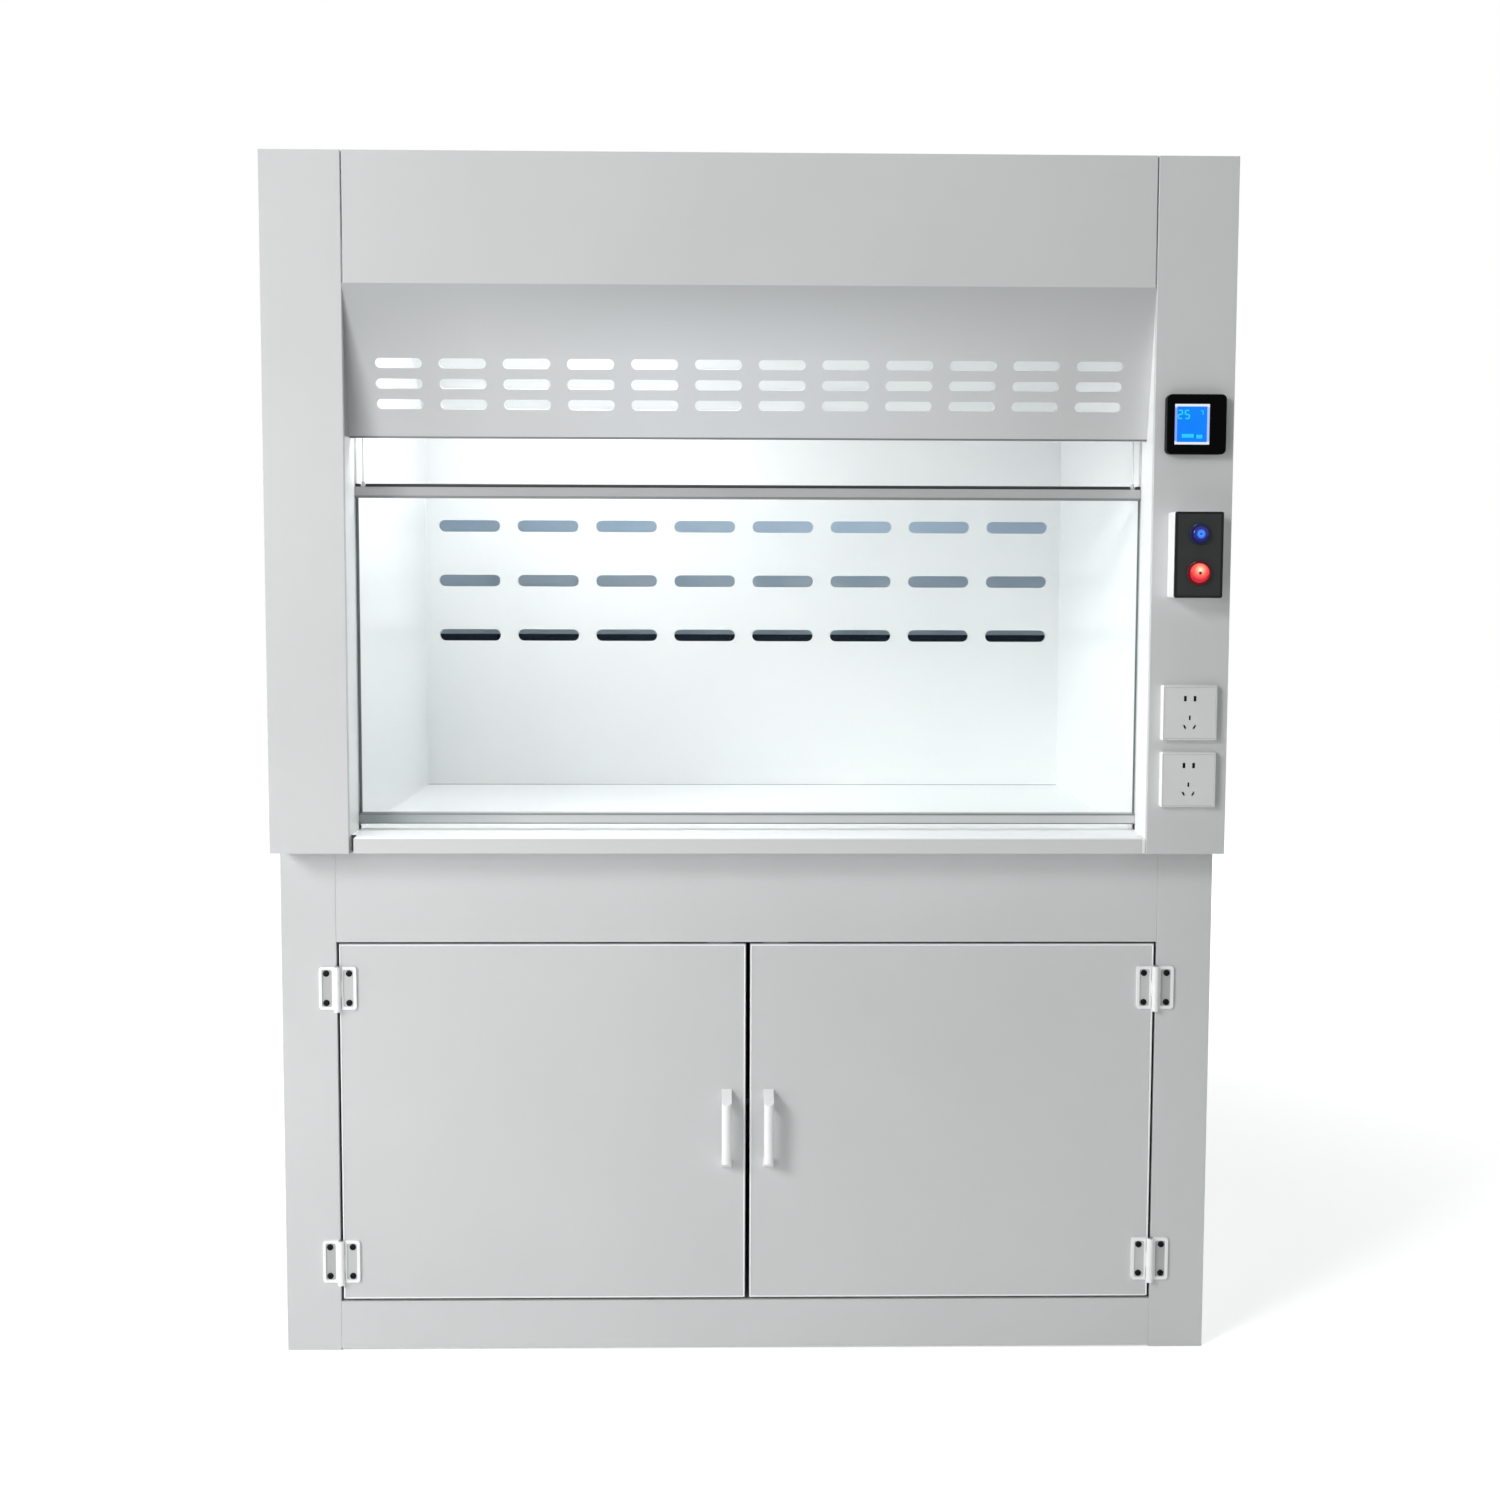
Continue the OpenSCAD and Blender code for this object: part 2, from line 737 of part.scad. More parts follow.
module outer_sides() color(polypropylene) in_place() both_sides()
    block([inner_x, sheet_t, bench_h], [half_w, back_y, hood_h]);

module jambs() color(inner_sheet) in_place() both_sides()
    block([open_x, sheet_t, bench_h + sheet_t], [open_x + sheet_t, track_front_y, roof_z]);

module liners() color(inner_sheet) in_place() both_sides()
    block([open_x, track_back_y, bench_h + sheet_t], [open_x + sheet_t, back_y, roof_z]);

module post_bases() color(polypropylene) in_place() both_sides()
    block([open_x, sheet_t, bench_h], [inner_x, back_y, bench_h + sheet_t]);

module rear_panel() color(polypropylene) in_place()
    block([-half_w, back_y, bench_h], [half_w, hood_d, hood_h]);

module roof() color(polypropylene) in_place() difference() {
    block([-inner_x, sheet_t, roof_z], [inner_x, back_y, hood_h]);
    translate([0, spigot_y, roof_z - past])
        cylinder(r = spigot_r - spigot_t, h = sheet_t + 2 * past);
}

module fascia() color(polypropylene) in_place()
    front_panel(fascia_gap - open_x, open_x - fascia_gap, break_z, hood_h, 0, sheet_t);

// The sloping panel below the fascia, with rows of round-ended slots
module inlet_panel() color(polypropylene) in_place() difference() {
    side_view = [[0, break_z], [inlet_depth, header_z],
        [inlet_depth + slope_cut, header_z], [slope_cut, break_z]];
    along_x(-open_x, open_x) polygon(side_view);
    for (row = [0 : inlet_rows - 1], col = [0 : inlet_cols - 1]) {
        x = (col - (inlet_cols - 1) / 2) * inlet_pitch_x;
        s = inlet_first_s + row * inlet_pitch_s;
        translate([x, inlet_depth - s * sin(slope_a), header_z + s * cos(slope_a)])
            rotate([90 + slope_a, 0, 0])
                linear_extrude(4 * sheet_t, center = true) slot(inlet_slot_l, inlet_slot_h);
    }
}

// The chamber's ceiling, with the lamp opening and the plenum's front wall
module ceiling() color(inner_sheet) in_place() difference() {
    side_view = [[track_back_y, ceiling_z], [plenum_y, ceiling_z], [plenum_y, roof_z],
        [plenum_y - sheet_t, roof_z], [plenum_y - sheet_t, ceiling_top_z],
        [track_back_y, ceiling_top_z]];
    along_x(-open_x, open_x) polygon(side_view);
    block([-lamp_l / 2, lamp_y - lamp_w / 2, ceiling_z - past],
        [lamp_l / 2, lamp_y + lamp_w / 2, ceiling_top_z + past]);
}

module upper_baffle() color(inner_sheet) in_place() along_x(-open_x, open_x)
    polygon([[baffle_y, baffle_top_z], [baffle_y + upper_cut, baffle_top_z],
        [plenum_y + upper_cut, upper_top_z], [plenum_y, upper_top_z]]);

module baffle() color(inner_sheet) in_place()
    facing_front(0, floor_z, baffle_y, baffle_y + sheet_t) difference() {
        translate([-open_x, 0]) square([2 * open_x, baffle_h]);
        for (row = [0 : min(baffle_rows, baffle_room) - 1], col = [0 : baffle_cols - 1])
            translate([(col - (baffle_cols - 1) / 2) * baffle_pitch_x,
                baffle_h - baffle_top_in - row * baffle_pitch_z])
                slot(baffle_slot_l, baffle_slot_h);
    }

// The duct spigot and its flange, turned about the exhaust axis
module exhaust_collar() color(polypropylene) in_place()
    translate([0, spigot_y, hood_h]) rotate_extrude($fn = 96) {
        r_in = spigot_r - spigot_t;
        polygon([[r_in, 0], [spigot_r + flange_w, 0], [spigot_r + flange_w, flange_t],
            [spigot_r, flange_t], [spigot_r, spigot_h], [r_in, spigot_h]]);
    }

module lamp_diffuser() color("white") in_place()
    block([-lamp_l / 2 - diffuser_lap, lamp_y - lamp_w / 2 - diffuser_lap, ceiling_top_z],
        [lamp_l / 2 + diffuser_lap, lamp_y + lamp_w / 2 + diffuser_lap,
            ceiling_top_z + diffuser_t]);

// A tray upside down over the diffuser, with a holder at each end for the tube
module lamp_housing() color("gainsboro") in_place() {
    x = lamp_l / 2 + diffuser_lap + housing_gap;
    y = lamp_w / 2 + diffuser_lap + housing_gap;
    translate([0, lamp_y, ceiling_top_z]) {
        difference() {
            block([-x - housing_t, -y - housing_t, 0], [x + housing_t, y + housing_t, lamp_h]);
            block([-x, -y, -past], [x, y, lamp_h - housing_t]);
        }
        both_sides() block([lamp_tube_x, -holder_d / 2, lamp_tube_z - tube_r],
            [x, holder_d / 2, lamp_h - housing_t]);
    }
}

module lamp_tube() color("white") in_place()
    translate([-lamp_tube_x, lamp_y, ceiling_top_z + lamp_tube_z]) rotate([0, 90, 0])
        cylinder(r = tube_r, h = 2 * lamp_tube_x);

module sash_glass() color("lightcyan", 0.3) in_place()
    block([-sash_end_x, sash_y - glass_t / 2, sash_z + bottom_rail_h - glass_seat],
        [sash_end_x, sash_y + glass_t / 2, sash_top_z - top_rail_h + glass_seat]);

// A rail with a groove for the glass, between two heights
module sash_rail(z0, z1, groove_z0, groove_z1) {
    difference() {
        block([-sash_end_x, sash_y - rail_d / 2, z0], [sash_end_x, sash_y + rail_d / 2, z1]);
        block([-sash_end_x - past, sash_y - glass_t / 2, groove_z0],
            [sash_end_x + past, sash_y + glass_t / 2, groove_z1]);
    }
}

module sash_top_rail() color("darkgray") in_place()
    sash_rail(sash_top_z - top_rail_h, sash_top_z,
        sash_top_z - top_rail_h - past, sash_top_z - top_rail_h + glass_seat);

module sash_bottom_rail() color("darkgray") in_place()
    sash_rail(sash_z, sash_z + bottom_rail_h,
        sash_z + bottom_rail_h - glass_seat, sash_z + bottom_rail_h + past);

// Blocks at the ends of both rails, which run in the tracks
module sash_guides() color("whitesmoke") in_place() both_sides()
    for (z = [sash_z, sash_top_z - guide_h])
        block([sash_end_x, sash_y - guide_w / 2, z],
            [groove_back_x - guide_clear, sash_y + guide_w / 2, z + guide_h]);

module sash_tracks() color("whitesmoke") in_place() both_sides() difference() {
    block([open_x, track_front_y, bench_h + sheet_t],
        [open_x + track_d, track_back_y, track_top_z]);
    block([open_x - past, track_front_y + track_t, bench_h],
        [groove_back_x, track_back_y - track_t, track_top_z + past]);
}

// Rubber blocks in the feet of the tracks, on which the closed sash stands
module sash_buffers() color("dimgray") in_place() both_sides()
    block([open_x + 1, sash_y - groove_w / 2, bench_h + sheet_t],
        [groove_back_x, sash_y + groove_w / 2, sash_z]);

// A grooved wheel with a wider hub, turned about its axle
module pulley() {
    translate([pulley_x, sash_y, pulley_z]) rotate([90, 0, 0]) rotate_extrude() {
        bore_r = axle_r + pin_clear;
        side = cable_r + groove_clear;
        polygon([[bore_r, -hub_w / 2], [hub_r, -hub_w / 2], [hub_r, -rim_w / 2],
            [flange_r, -rim_w / 2], [flange_r, -side - groove_flare],
            [root_r + 2 * cable_r, -side], [root_r, -side / 2], [root_r, side / 2],
            [root_r + 2 * cable_r, side], [flange_r, side + groove_flare],
            [flange_r, rim_w / 2], [hub_r, rim_w / 2],
            [hub_r, hub_w / 2], [bore_r, hub_w / 2]]);
    }
}

module pulley_left() color("silver") in_place() mirror([1, 0, 0]) pulley();

module pulley_right() color("silver") in_place() pulley();

// Brackets under the roof, each with a fixed axle for its pulley
module pulley_brackets() color("gray") in_place() both_sides() {
    x0 = pulley_x - bracket_w / 2;
    x1 = pulley_x + bracket_w / 2;
    block([x0, track_front_y, roof_z - bracket_t], [x1, track_back_y, roof_z]);
    for (y = [track_front_y, track_back_y - bracket_t])
        block([x0, y, pulley_z - bracket_leg], [x1, y + bracket_t, roof_z]);
    translate([pulley_x, track_back_y, pulley_z]) rotate([90, 0, 0])
        cylinder(r = axle_r, h = track_w);
}

module counterweight() {
    block([weight_x - weight_w / 2, sash_y - weight_d / 2, weight_top_z - weight_h],
        [weight_x + weight_w / 2, sash_y + weight_d / 2, weight_top_z]);
}

module counterweight_left() color("slategray") in_place() mirror([1, 0, 0]) counterweight();

module counterweight_right() color("slategray") in_place() counterweight();

// Cables from the sash up and over the pulleys
module sash_cables() color("silver") in_place() both_sides() {
    translate([cable_x, sash_y, sash_top_z]) cylinder(r = cable_r, h = pulley_z - sash_top_z);
    translate([pulley_x, sash_y, pulley_z]) rotate([90, 0, 0])
        rotate_extrude(angle = 180) translate([pulley_r, 0]) circle(cable_r);
}

// Cables from the pulleys down to the counterweights
module weight_cables() color("silver") in_place() both_sides()
    translate([weight_x, sash_y, weight_top_z]) cylinder(r = cable_r, h = pulley_z - weight_top_z);

// A terminal box behind the post's face
module back_box(z) {
    block([post_x - back_box_w / 2, 0, z - back_box_w / 2],
        [post_x + back_box_w / 2, back_box_d, z + back_box_w / 2]);
}

module controller_housing() color("#16171a") in_place() {
    back_box(controller_z);
    difference() {
        facing_front(post_x, controller_z, -controller_d, 0)
            round_rect(controller_w, controller_w, controller_r);
        facing_front(post_x - screen_off, controller_z,
            -controller_d - past, pocket_d - controller_d)
            square([screen_w, screen_h], center = true);
    }
}

module controller_screen() color("#1677e8") in_place()
    facing_front(post_x - screen_off, controller_z,
        screen_deep - controller_d, pocket_d - controller_d)
        square([screen_w, screen_h], center = true);

// A cap's pocket in the box, deep enough for the button's travel
module cap_hole(r, z, depth) {
    turned(post_x, -switch_d + depth, z) square([r, depth + switch_face_t + past]);
}

module switch_box() color("whitesmoke") in_place() difference() {
    facing_front(post_x, switch_z, -switch_d, 0) round_rect(switch_w, switch_h, switch_r);
    cap_hole(blue_r + cap_clear, blue_z, stem_l + button_travel + past);
    cap_hole(red_r + cap_clear, red_z, stem_l + button_travel + past);
}

module switch_face() color("#3c3f41") in_place() difference() {
    facing_front(post_x, switch_z, -switch_d - switch_face_t, -switch_d)
        round_rect(switch_w, switch_h, switch_r);
    cap_hole(blue_r + cap_clear, blue_z, past);
    cap_hole(red_r + cap_clear, red_z, past);
}

// A ring around a cap, on the face plate
module bezel(r, z) {
    turned(post_x, -switch_d - switch_face_t, z)
        polygon([[r + cap_clear, 0], [r + bezel_w, 0], [r + bezel_w, bezel_h - bezel_bevel],
            [r + bezel_w - bezel_bevel, bezel_h], [r + cap_clear, bezel_h]]);
}

module button_bezels() color("#2a2c2f") in_place() {
    bezel(blue_r, blue_z);
    bezel(red_r, red_z);
}

// A button cap with a rounded face, from its stem's end to its front
module cap(r, z) {
    body_l = stem_l + switch_face_t + bezel_h + cap_h;
    rim = [for (a = [0 : 15 : 90])
        [r - cap_rim + cap_rim * cos(a), body_l - cap_rim + cap_rim * sin(a)]];
    turned(post_x, -switch_d + stem_l, z) polygon(concat([[0, 0], [r, 0]], rim, [[0, body_l]]));
}

module blue_button() color("royalblue") in_place() cap(blue_r, blue_z);

module red_button() color("red") in_place() cap(red_r, red_z);

// A socket plate with bevelled edges, around its insert
module socket_plate(z) {
    w = insert_w + 2 * insert_clear;
    difference() {
        union() {
            facing_front(post_x, z, -socket_d + plate_bevel, 0)
                round_rect(socket_w, socket_w, plate_r);
            hull() {
                for (x = [-1, 1], v = [-1, 1]) {
                    e = socket_w / 2 - plate_r;
                    translate([post_x + x * e, -socket_d + plate_bevel, z + v * e])
                        rotate([90, 0, 0])
                            cylinder(r1 = plate_r, r2 = plate_r / 2, h = plate_bevel,
                                $fn = corner_fn);
                }
            }
        }
        block([post_x - w / 2, -socket_d - past, z - w / 2],
            [post_x + w / 2, past, z + w / 2]);
    }
}

module socket_plates() color("white") in_place() for (z = socket_levels) socket_plate(z);

// The five contact slots of a socket: two upright above, three below
module contact_slots() {
    for (x = [-1, 1]) translate([x * blade_x, blade_z])
        square([blade_w, blade_h], center = true);
    translate([0, middle_z]) square([contact_w, contact_h], center = true);
    for (x = [-1, 1]) translate([x * skew_x, skew_z]) rotate(x * skew_a)
        square([contact_w, contact_h], center = true);
}

module socket_inserts() color("white") in_place() for (z = socket_levels) difference() {
    union() {
        back_box(z);
        facing_front(post_x, z, -socket_d, 0) square(insert_w, center = true);
    }
    facing_front(post_x, z, -socket_d - past, -socket_d + contact_deep) contact_slots();
}

cabinet_sides();
cabinet_back();
cabinet_floor();
stile_left();
stile_right();
head_rail();
bottom_rail();
cabinet_shelf();
shelf_cleats();
bench_bearers();
door_left();
door_right();
handle_left();
handle_right();
hinge_frame_leaves();
hinge_door_leaves_left();
hinge_door_leaves_right();
hinge_pins();
door_catches();
worktop();
post_face_left();
post_face_right();
outer_sides();
jambs();
liners();
post_bases();
rear_panel();
roof();
fascia();
inlet_panel();
ceiling();
upper_baffle();
baffle();
exhaust_collar();
lamp_diffuser();
lamp_housing();
lamp_tube();
sash_glass();
sash_top_rail();
sash_bottom_rail();
sash_guides();
sash_tracks();
sash_buffers();
pulley_left();
pulley_right();
pulley_brackets();
counterweight_left();
counterweight_right();
sash_cables();
weight_cables();
controller_housing();
controller_screen();
switch_box();
switch_face();
button_bezels();
blue_button();
red_button();
socket_plates();
socket_inserts();
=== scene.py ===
# %% [markdown]
# # A polypropylene fume hood
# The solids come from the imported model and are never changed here. This lesson gives
# them their finishes and adds what is too fine for a solid: screws, weld beads, gaskets,
# wire rope, the display's figures and the light. Every length is in metres, with the
# front towards -Y.

# %% Load the frame
import json
import math

import bmesh
import bpy
from mathutils import Matrix, Vector


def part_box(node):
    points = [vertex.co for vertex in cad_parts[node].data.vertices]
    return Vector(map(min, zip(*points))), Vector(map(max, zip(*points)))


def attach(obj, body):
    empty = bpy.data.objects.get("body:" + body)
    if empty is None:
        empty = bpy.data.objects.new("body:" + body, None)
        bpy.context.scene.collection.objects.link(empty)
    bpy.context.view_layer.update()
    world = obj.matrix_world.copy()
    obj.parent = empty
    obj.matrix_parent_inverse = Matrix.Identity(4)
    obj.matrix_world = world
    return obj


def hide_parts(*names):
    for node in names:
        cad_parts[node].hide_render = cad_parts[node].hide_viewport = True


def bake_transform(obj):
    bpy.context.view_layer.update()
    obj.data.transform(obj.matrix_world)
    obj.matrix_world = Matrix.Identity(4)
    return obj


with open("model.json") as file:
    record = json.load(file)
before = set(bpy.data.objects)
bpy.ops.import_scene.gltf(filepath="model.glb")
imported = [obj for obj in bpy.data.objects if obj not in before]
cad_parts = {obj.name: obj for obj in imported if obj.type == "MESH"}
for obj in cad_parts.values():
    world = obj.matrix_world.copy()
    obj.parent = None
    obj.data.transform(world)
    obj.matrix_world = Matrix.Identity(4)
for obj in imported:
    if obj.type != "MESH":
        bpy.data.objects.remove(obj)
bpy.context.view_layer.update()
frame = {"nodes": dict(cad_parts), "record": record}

nodes = frame["nodes"]

# %% [markdown]
# ## Two small helpers
# A hex colour is written for the eye, in sRGB, but a shader counts light, so the colour is
# turned linear once, here. The second helper adds any node, sets it up and links it, so
# that each tree below reads as a list of what it does.

# %% Colour and node helpers


def colour(hex_code):
    """A linear colour from an sRGB hex code."""
    parts = [int(hex_code[i:i + 2], 16) / 255 for i in (1, 3, 5)]
    linear = [p / 12.92 if p <= 0.04045 else ((p + 0.055) / 1.055) ** 2.4 for p in parts]
    return (*linear, 1.0)


def add(tree, kind, inputs=None, **settings):
    """Adds a node. Each input is a plain value, or the output that feeds it."""
    made = tree.nodes.new(kind)
    for name, value in settings.items():
        setattr(made, name, value)
    for socket, value in (inputs or {}).items():
        if isinstance(value, bpy.types.NodeSocket):
            tree.links.new(value, made.inputs[socket])
        else:
            made.inputs[socket].default_value = value
    return made


print("colour of #808080 is", round(colour("#808080")[0], 3))

# %% [markdown]
# ## Camera
# The photograph was taken at chest height, a little to the left of the middle, from a bit
# over two and a half metres. The camera was fitted to the corners of the posts, the panels
# and the doors, so it keeps a slight turn, tilt and roll, and a small vertical shift.

# %% Camera
photo_px = 1500
focal_px = 1702.9
middle_row_px = 692.4
camera_place = Vector((-0.0452, -3.049, 1.274))
turn, tilt, roll = 0.0173, 0.0715, 0.0032

level = math.cos(tilt)
ahead = Vector((math.sin(turn) * level, math.cos(turn) * level, -math.sin(tilt)))
level_right = Vector((math.cos(turn), -math.sin(turn), 0))
level_up = level_right.cross(ahead)
right = math.cos(roll) * level_right + math.sin(roll) * level_up
up = -math.sin(roll) * level_right + math.cos(roll) * level_up

lens = bpy.data.cameras.new("camera")
lens.sensor_width = 36.0
lens.lens = focal_px / photo_px * lens.sensor_width
lens.shift_y = (middle_row_px - photo_px / 2) / photo_px
camera = bpy.data.objects.new("camera", lens)
facing = Matrix((right, up, -ahead)).transposed().to_4x4()
camera.matrix_world = Matrix.Translation(camera_place) @ facing
bpy.context.scene.collection.objects.link(camera)
bpy.context.scene.camera = camera
print("lens", round(lens.lens, 2), "mm, shift", round(lens.shift_y, 4))

# %% [markdown]
# ## Light
# The photograph has one broad window-like light from the upper left and a lot of soft
# light from all around. One large lamp gives the soft shadows that fall right and down. A
# front one at eye level throws the short band of shadow under the worktop, and a low one
# stands for what a bright floor throws back onto the plinth. A weak lamp from straight above
# whitens the sill, and one far to the left lights the faces that look that way, with a
# weaker one opposite. The world gives the rest at a plain level. Camera, mirror and glass
# rays see a white world, so the background is white without more light on the hood.

# %% World and view
ambient_level = 0.24
scene = bpy.context.scene
scene.view_settings.view_transform = "Standard"
world = bpy.data.worlds.new("studio")
scene.world = world
world.use_nodes = True
sky = world.node_tree
sky.nodes.clear()
rays = add(sky, "ShaderNodeLightPath")
eye_or_gloss = add(sky, "ShaderNodeMath", operation="MAXIMUM",
                   inputs={0: rays.outputs["Is Camera Ray"], 1: rays.outputs["Is Glossy Ray"]})
seen = add(sky, "ShaderNodeMath", operation="MAXIMUM",
           inputs={0: eye_or_gloss.outputs[0], 1: rays.outputs["Is Transmission Ray"]})
ambient = add(sky, "ShaderNodeBackground", {"Color": colour("#f3f4f5"), "Strength": ambient_level})
white = add(sky, "ShaderNodeBackground", {"Color": (1, 1, 1, 1), "Strength": 1.0})
both = add(sky, "ShaderNodeMixShader",
           {0: seen.outputs[0], 1: ambient.outputs[0], 2: white.outputs[0]})
add(sky, "ShaderNodeOutputWorld", {"Surface": both.outputs[0]})
print("ambient level", ambient_level)

# %% Studio lamps


def soft_box(name, place, target, width, height, watts, hex_code="#ffffff"):
    """A rectangular lamp at a place, turned to its target."""
    lamp = bpy.data.lights.new(name, "AREA")
    lamp.shape = "RECTANGLE"
    lamp.size, lamp.size_y = width, height
    lamp.energy = watts
    lamp.color = colour(hex_code)[:3]
    holder = bpy.data.objects.new(name, lamp)
    aim = (Vector(target) - Vector(place)).to_track_quat("-Z", "Y")
    holder.matrix_world = Matrix.Translation(place) @ aim.to_matrix().to_4x4()
    holder.visible_camera = False
    scene.collection.objects.link(holder)
    print(name, watts, "W")


soft_box("window", (-4.4, -4.4, 3.8), (0, -0.35, 0.9), 1.7, 1.7, 186)
soft_box("front_fill", (-1.6, -2.6, 1.55), (0, -0.35, 0.6), 0.8, 0.4, 10.5)
soft_box("floor_bounce", (-1.0, -1.7, 0.15), (0, -0.34, 0.05), 1.6, 0.3, 3.5)
soft_box("sill_light", (-0.3, -0.75, 4.0), (-0.2, -0.42, 0.9), 1.4, 0.4, 20)
soft_box("side_light", (-3.6, -0.95, 1.35), (0.3, -0.36, 1.1), 0.5, 1.4, 13)
soft_box("side_bounce", (3.6, -0.95, 1.35), (-0.3, -0.36, 1.1), 0.5, 1.4, 5)
soft_box("back_fill", (2.6, 3.6, 3.2), (0, 0.3, 1.0), 3.0, 2.4, 90)

# %% [markdown]
# ## Floor
# The floor is part of the studio, not of the hood. It is a pale matt sheet that keeps the
# hood's soft shadow, and camera rays get a little light added, so that it is as white as
# the background wherever no shadow lies.

# %% Floor
floor_mesh = bpy.data.meshes.new("studio_floor")
floor_half = 12.0
lift_from, lift_to = 1.2, 4.5
lift_near, lift_far = 0.46, 0.8
corners = [(x * floor_half, y * floor_half, 0) for x, y in ((-1, -1), (1, -1), (1, 1), (-1, 1))]
floor_mesh.from_pydata(corners, [], [(0, 1, 2, 3)])
floor = bpy.data.objects.new("studio_floor", floor_mesh)
scene.collection.objects.link(floor)

paper = bpy.data.materials.new("studio_paper")
paper.use_nodes = True
sheet = paper.node_tree
sheet.nodes.clear()
rays = add(sheet, "ShaderNodeLightPath")
matt = add(sheet, "ShaderNodeBsdfDiffuse", {"Color": colour("#f4f4f4")})
place = add(sheet, "ShaderNodeTexCoord")
away = add(sheet, "ShaderNodeVectorMath", {0: place.outputs["Object"]}, operation="LENGTH")
far_lift = add(sheet, "ShaderNodeMapRange", interpolation_type="SMOOTHSTEP",
               inputs={"Value": away.outputs["Value"], "From Min": lift_from,
                       "From Max": lift_to, "To Min": lift_near, "To Max": lift_far})
lift = add(sheet, "ShaderNodeMath", operation="MULTIPLY",
           inputs={0: rays.outputs["Is Camera Ray"], 1: far_lift.outputs[0]})
glow = add(sheet, "ShaderNodeEmission", {"Color": (1, 1, 1, 1), "Strength": lift.outputs[0]})
lit = add(sheet, "ShaderNodeAddShader", {0: matt.outputs[0], 1: glow.outputs[0]})
add(sheet, "ShaderNodeOutputMaterial", {"Surface": lit.outputs[0]})
floor_mesh.materials.append(paper)
print("floor", 2 * floor_half, "m square")

# %% [markdown]
# ## Finishes
# Every finish starts from the real material and how its surface was made. A helper makes
# the shader with its constant values on the shader's own sockets. Others give the two
# things that moulded and extruded plastics share: a very slight drift of colour over
# patches of a real size, and a fine unevenness that breaks up the gloss. Where one piece
# has two colours, a mask says by place or by facing where the second one goes.

# %% Material helpers


def material(name, hex_code, roughness, **sockets):
    """A Principled material. Further sockets are named with spaces as underscores."""
    made = bpy.data.materials.new(name)
    made.use_nodes = True
    tree = made.node_tree
    shader = tree.nodes["Principled BSDF"]
    shader.inputs["Base Color"].default_value = colour(hex_code)
    shader.inputs["Roughness"].default_value = roughness
    for socket, value in sockets.items():
        shader.inputs[socket.replace("_", " ")].default_value = value
    made.diffuse_color = colour(hex_code)
    return made, tree, shader


def drift(tree, shader, dark, light, patch, low, high):
    """Lets colour and roughness drift between two values over patches of a real size."""
    place = add(tree, "ShaderNodeTexCoord")
    cloud = add(tree, "ShaderNodeTexNoise", {"Vector": place.outputs["Object"], "Scale": 1 / patch,
                                             "Detail": 3.0, "Roughness": 0.55})
    tint = add(tree, "ShaderNodeMix", data_type="RGBA",
               inputs={0: cloud.outputs["Fac"], 6: colour(dark), 7: colour(light)})
    gloss = add(tree, "ShaderNodeMapRange",
                {"Value": cloud.outputs["Fac"], "To Min": low, "To Max": high})
    tree.links.new(tint.outputs[2], shader.inputs["Base Color"])
    tree.links.new(gloss.outputs[0], shader.inputs["Roughness"])
    return place


def grain(tree, shader, place, size, depth, stretch=(1, 1, 1)):
    """Adds relief of a real grain size and depth."""
    spot = add(tree, "ShaderNodeMapping", {"Vector": place.outputs["Object"], "Scale": stretch})
    bumps = add(tree, "ShaderNodeTexNoise",
                {"Vector": spot.outputs[0], "Scale": 1 / size, "Detail": 2.0})
    relief = add(tree, "ShaderNodeBump", {"Height": bumps.outputs["Fac"], "Distance": depth})
    tree.links.new(relief.outputs[0], shader.inputs["Normal"])


def plastic(name, hex_code, roughness, ior, drifts, grains=None, **sockets):
    """A material with the values of its drift and of its grain."""
    made, tree, shader = material(name, hex_code, roughness, IOR=ior, **sockets)
    place = drift(tree, shader, *drifts)
    if grains:
        grain(tree, shader, place, *grains)
    return made


def paint_over(made, mask, hex_code):
    """Lays one more colour over a material's base colour wherever the mask is 1."""
    tree = made.node_tree
    base = tree.nodes["Principled BSDF"].inputs["Base Color"]
    over = add(tree, "ShaderNodeMix", data_type="RGBA",
               inputs={0: mask, 6: base.links[0].from_socket, 7: colour(hex_code)})
    tree.links.new(over.outputs[2], base)


def masks(made):
    """Short ways to say where on the object a colour goes: by place, or by facing."""
    tree = made.node_tree
    place = add(tree, "ShaderNodeTexCoord")
    spot = add(tree, "ShaderNodeSeparateXYZ", {0: place.outputs["Object"]})
    face = add(tree, "ShaderNodeSeparateXYZ", {0: place.outputs["Normal"]})

    def over(axis, limit, facing=False):
        value = (face if facing else spot).outputs[axis]
        return add(tree, "ShaderNodeMath", {0: value, 1: limit}, operation="GREATER_THAN").outputs[0]

    def under(axis, limit, facing=False):
        value = (face if facing else spot).outputs[axis]
        return add(tree, "ShaderNodeMath", {0: value, 1: limit}, operation="LESS_THAN").outputs[0]

    def fade(axis, none_at, full_at):
        return add(tree, "ShaderNodeMapRange", {
            "Value": spot.outputs[axis], "From Min": none_at, "From Max": full_at}).outputs[0]

    def every(*parts):
        mask = parts[0]
        for part in parts[1:]:
            mask = add(tree, "ShaderNodeMath", {0: mask, 1: part}, operation="MULTIPLY").outputs[0]
        return mask

    return over, under, fade, every


finishes = {}
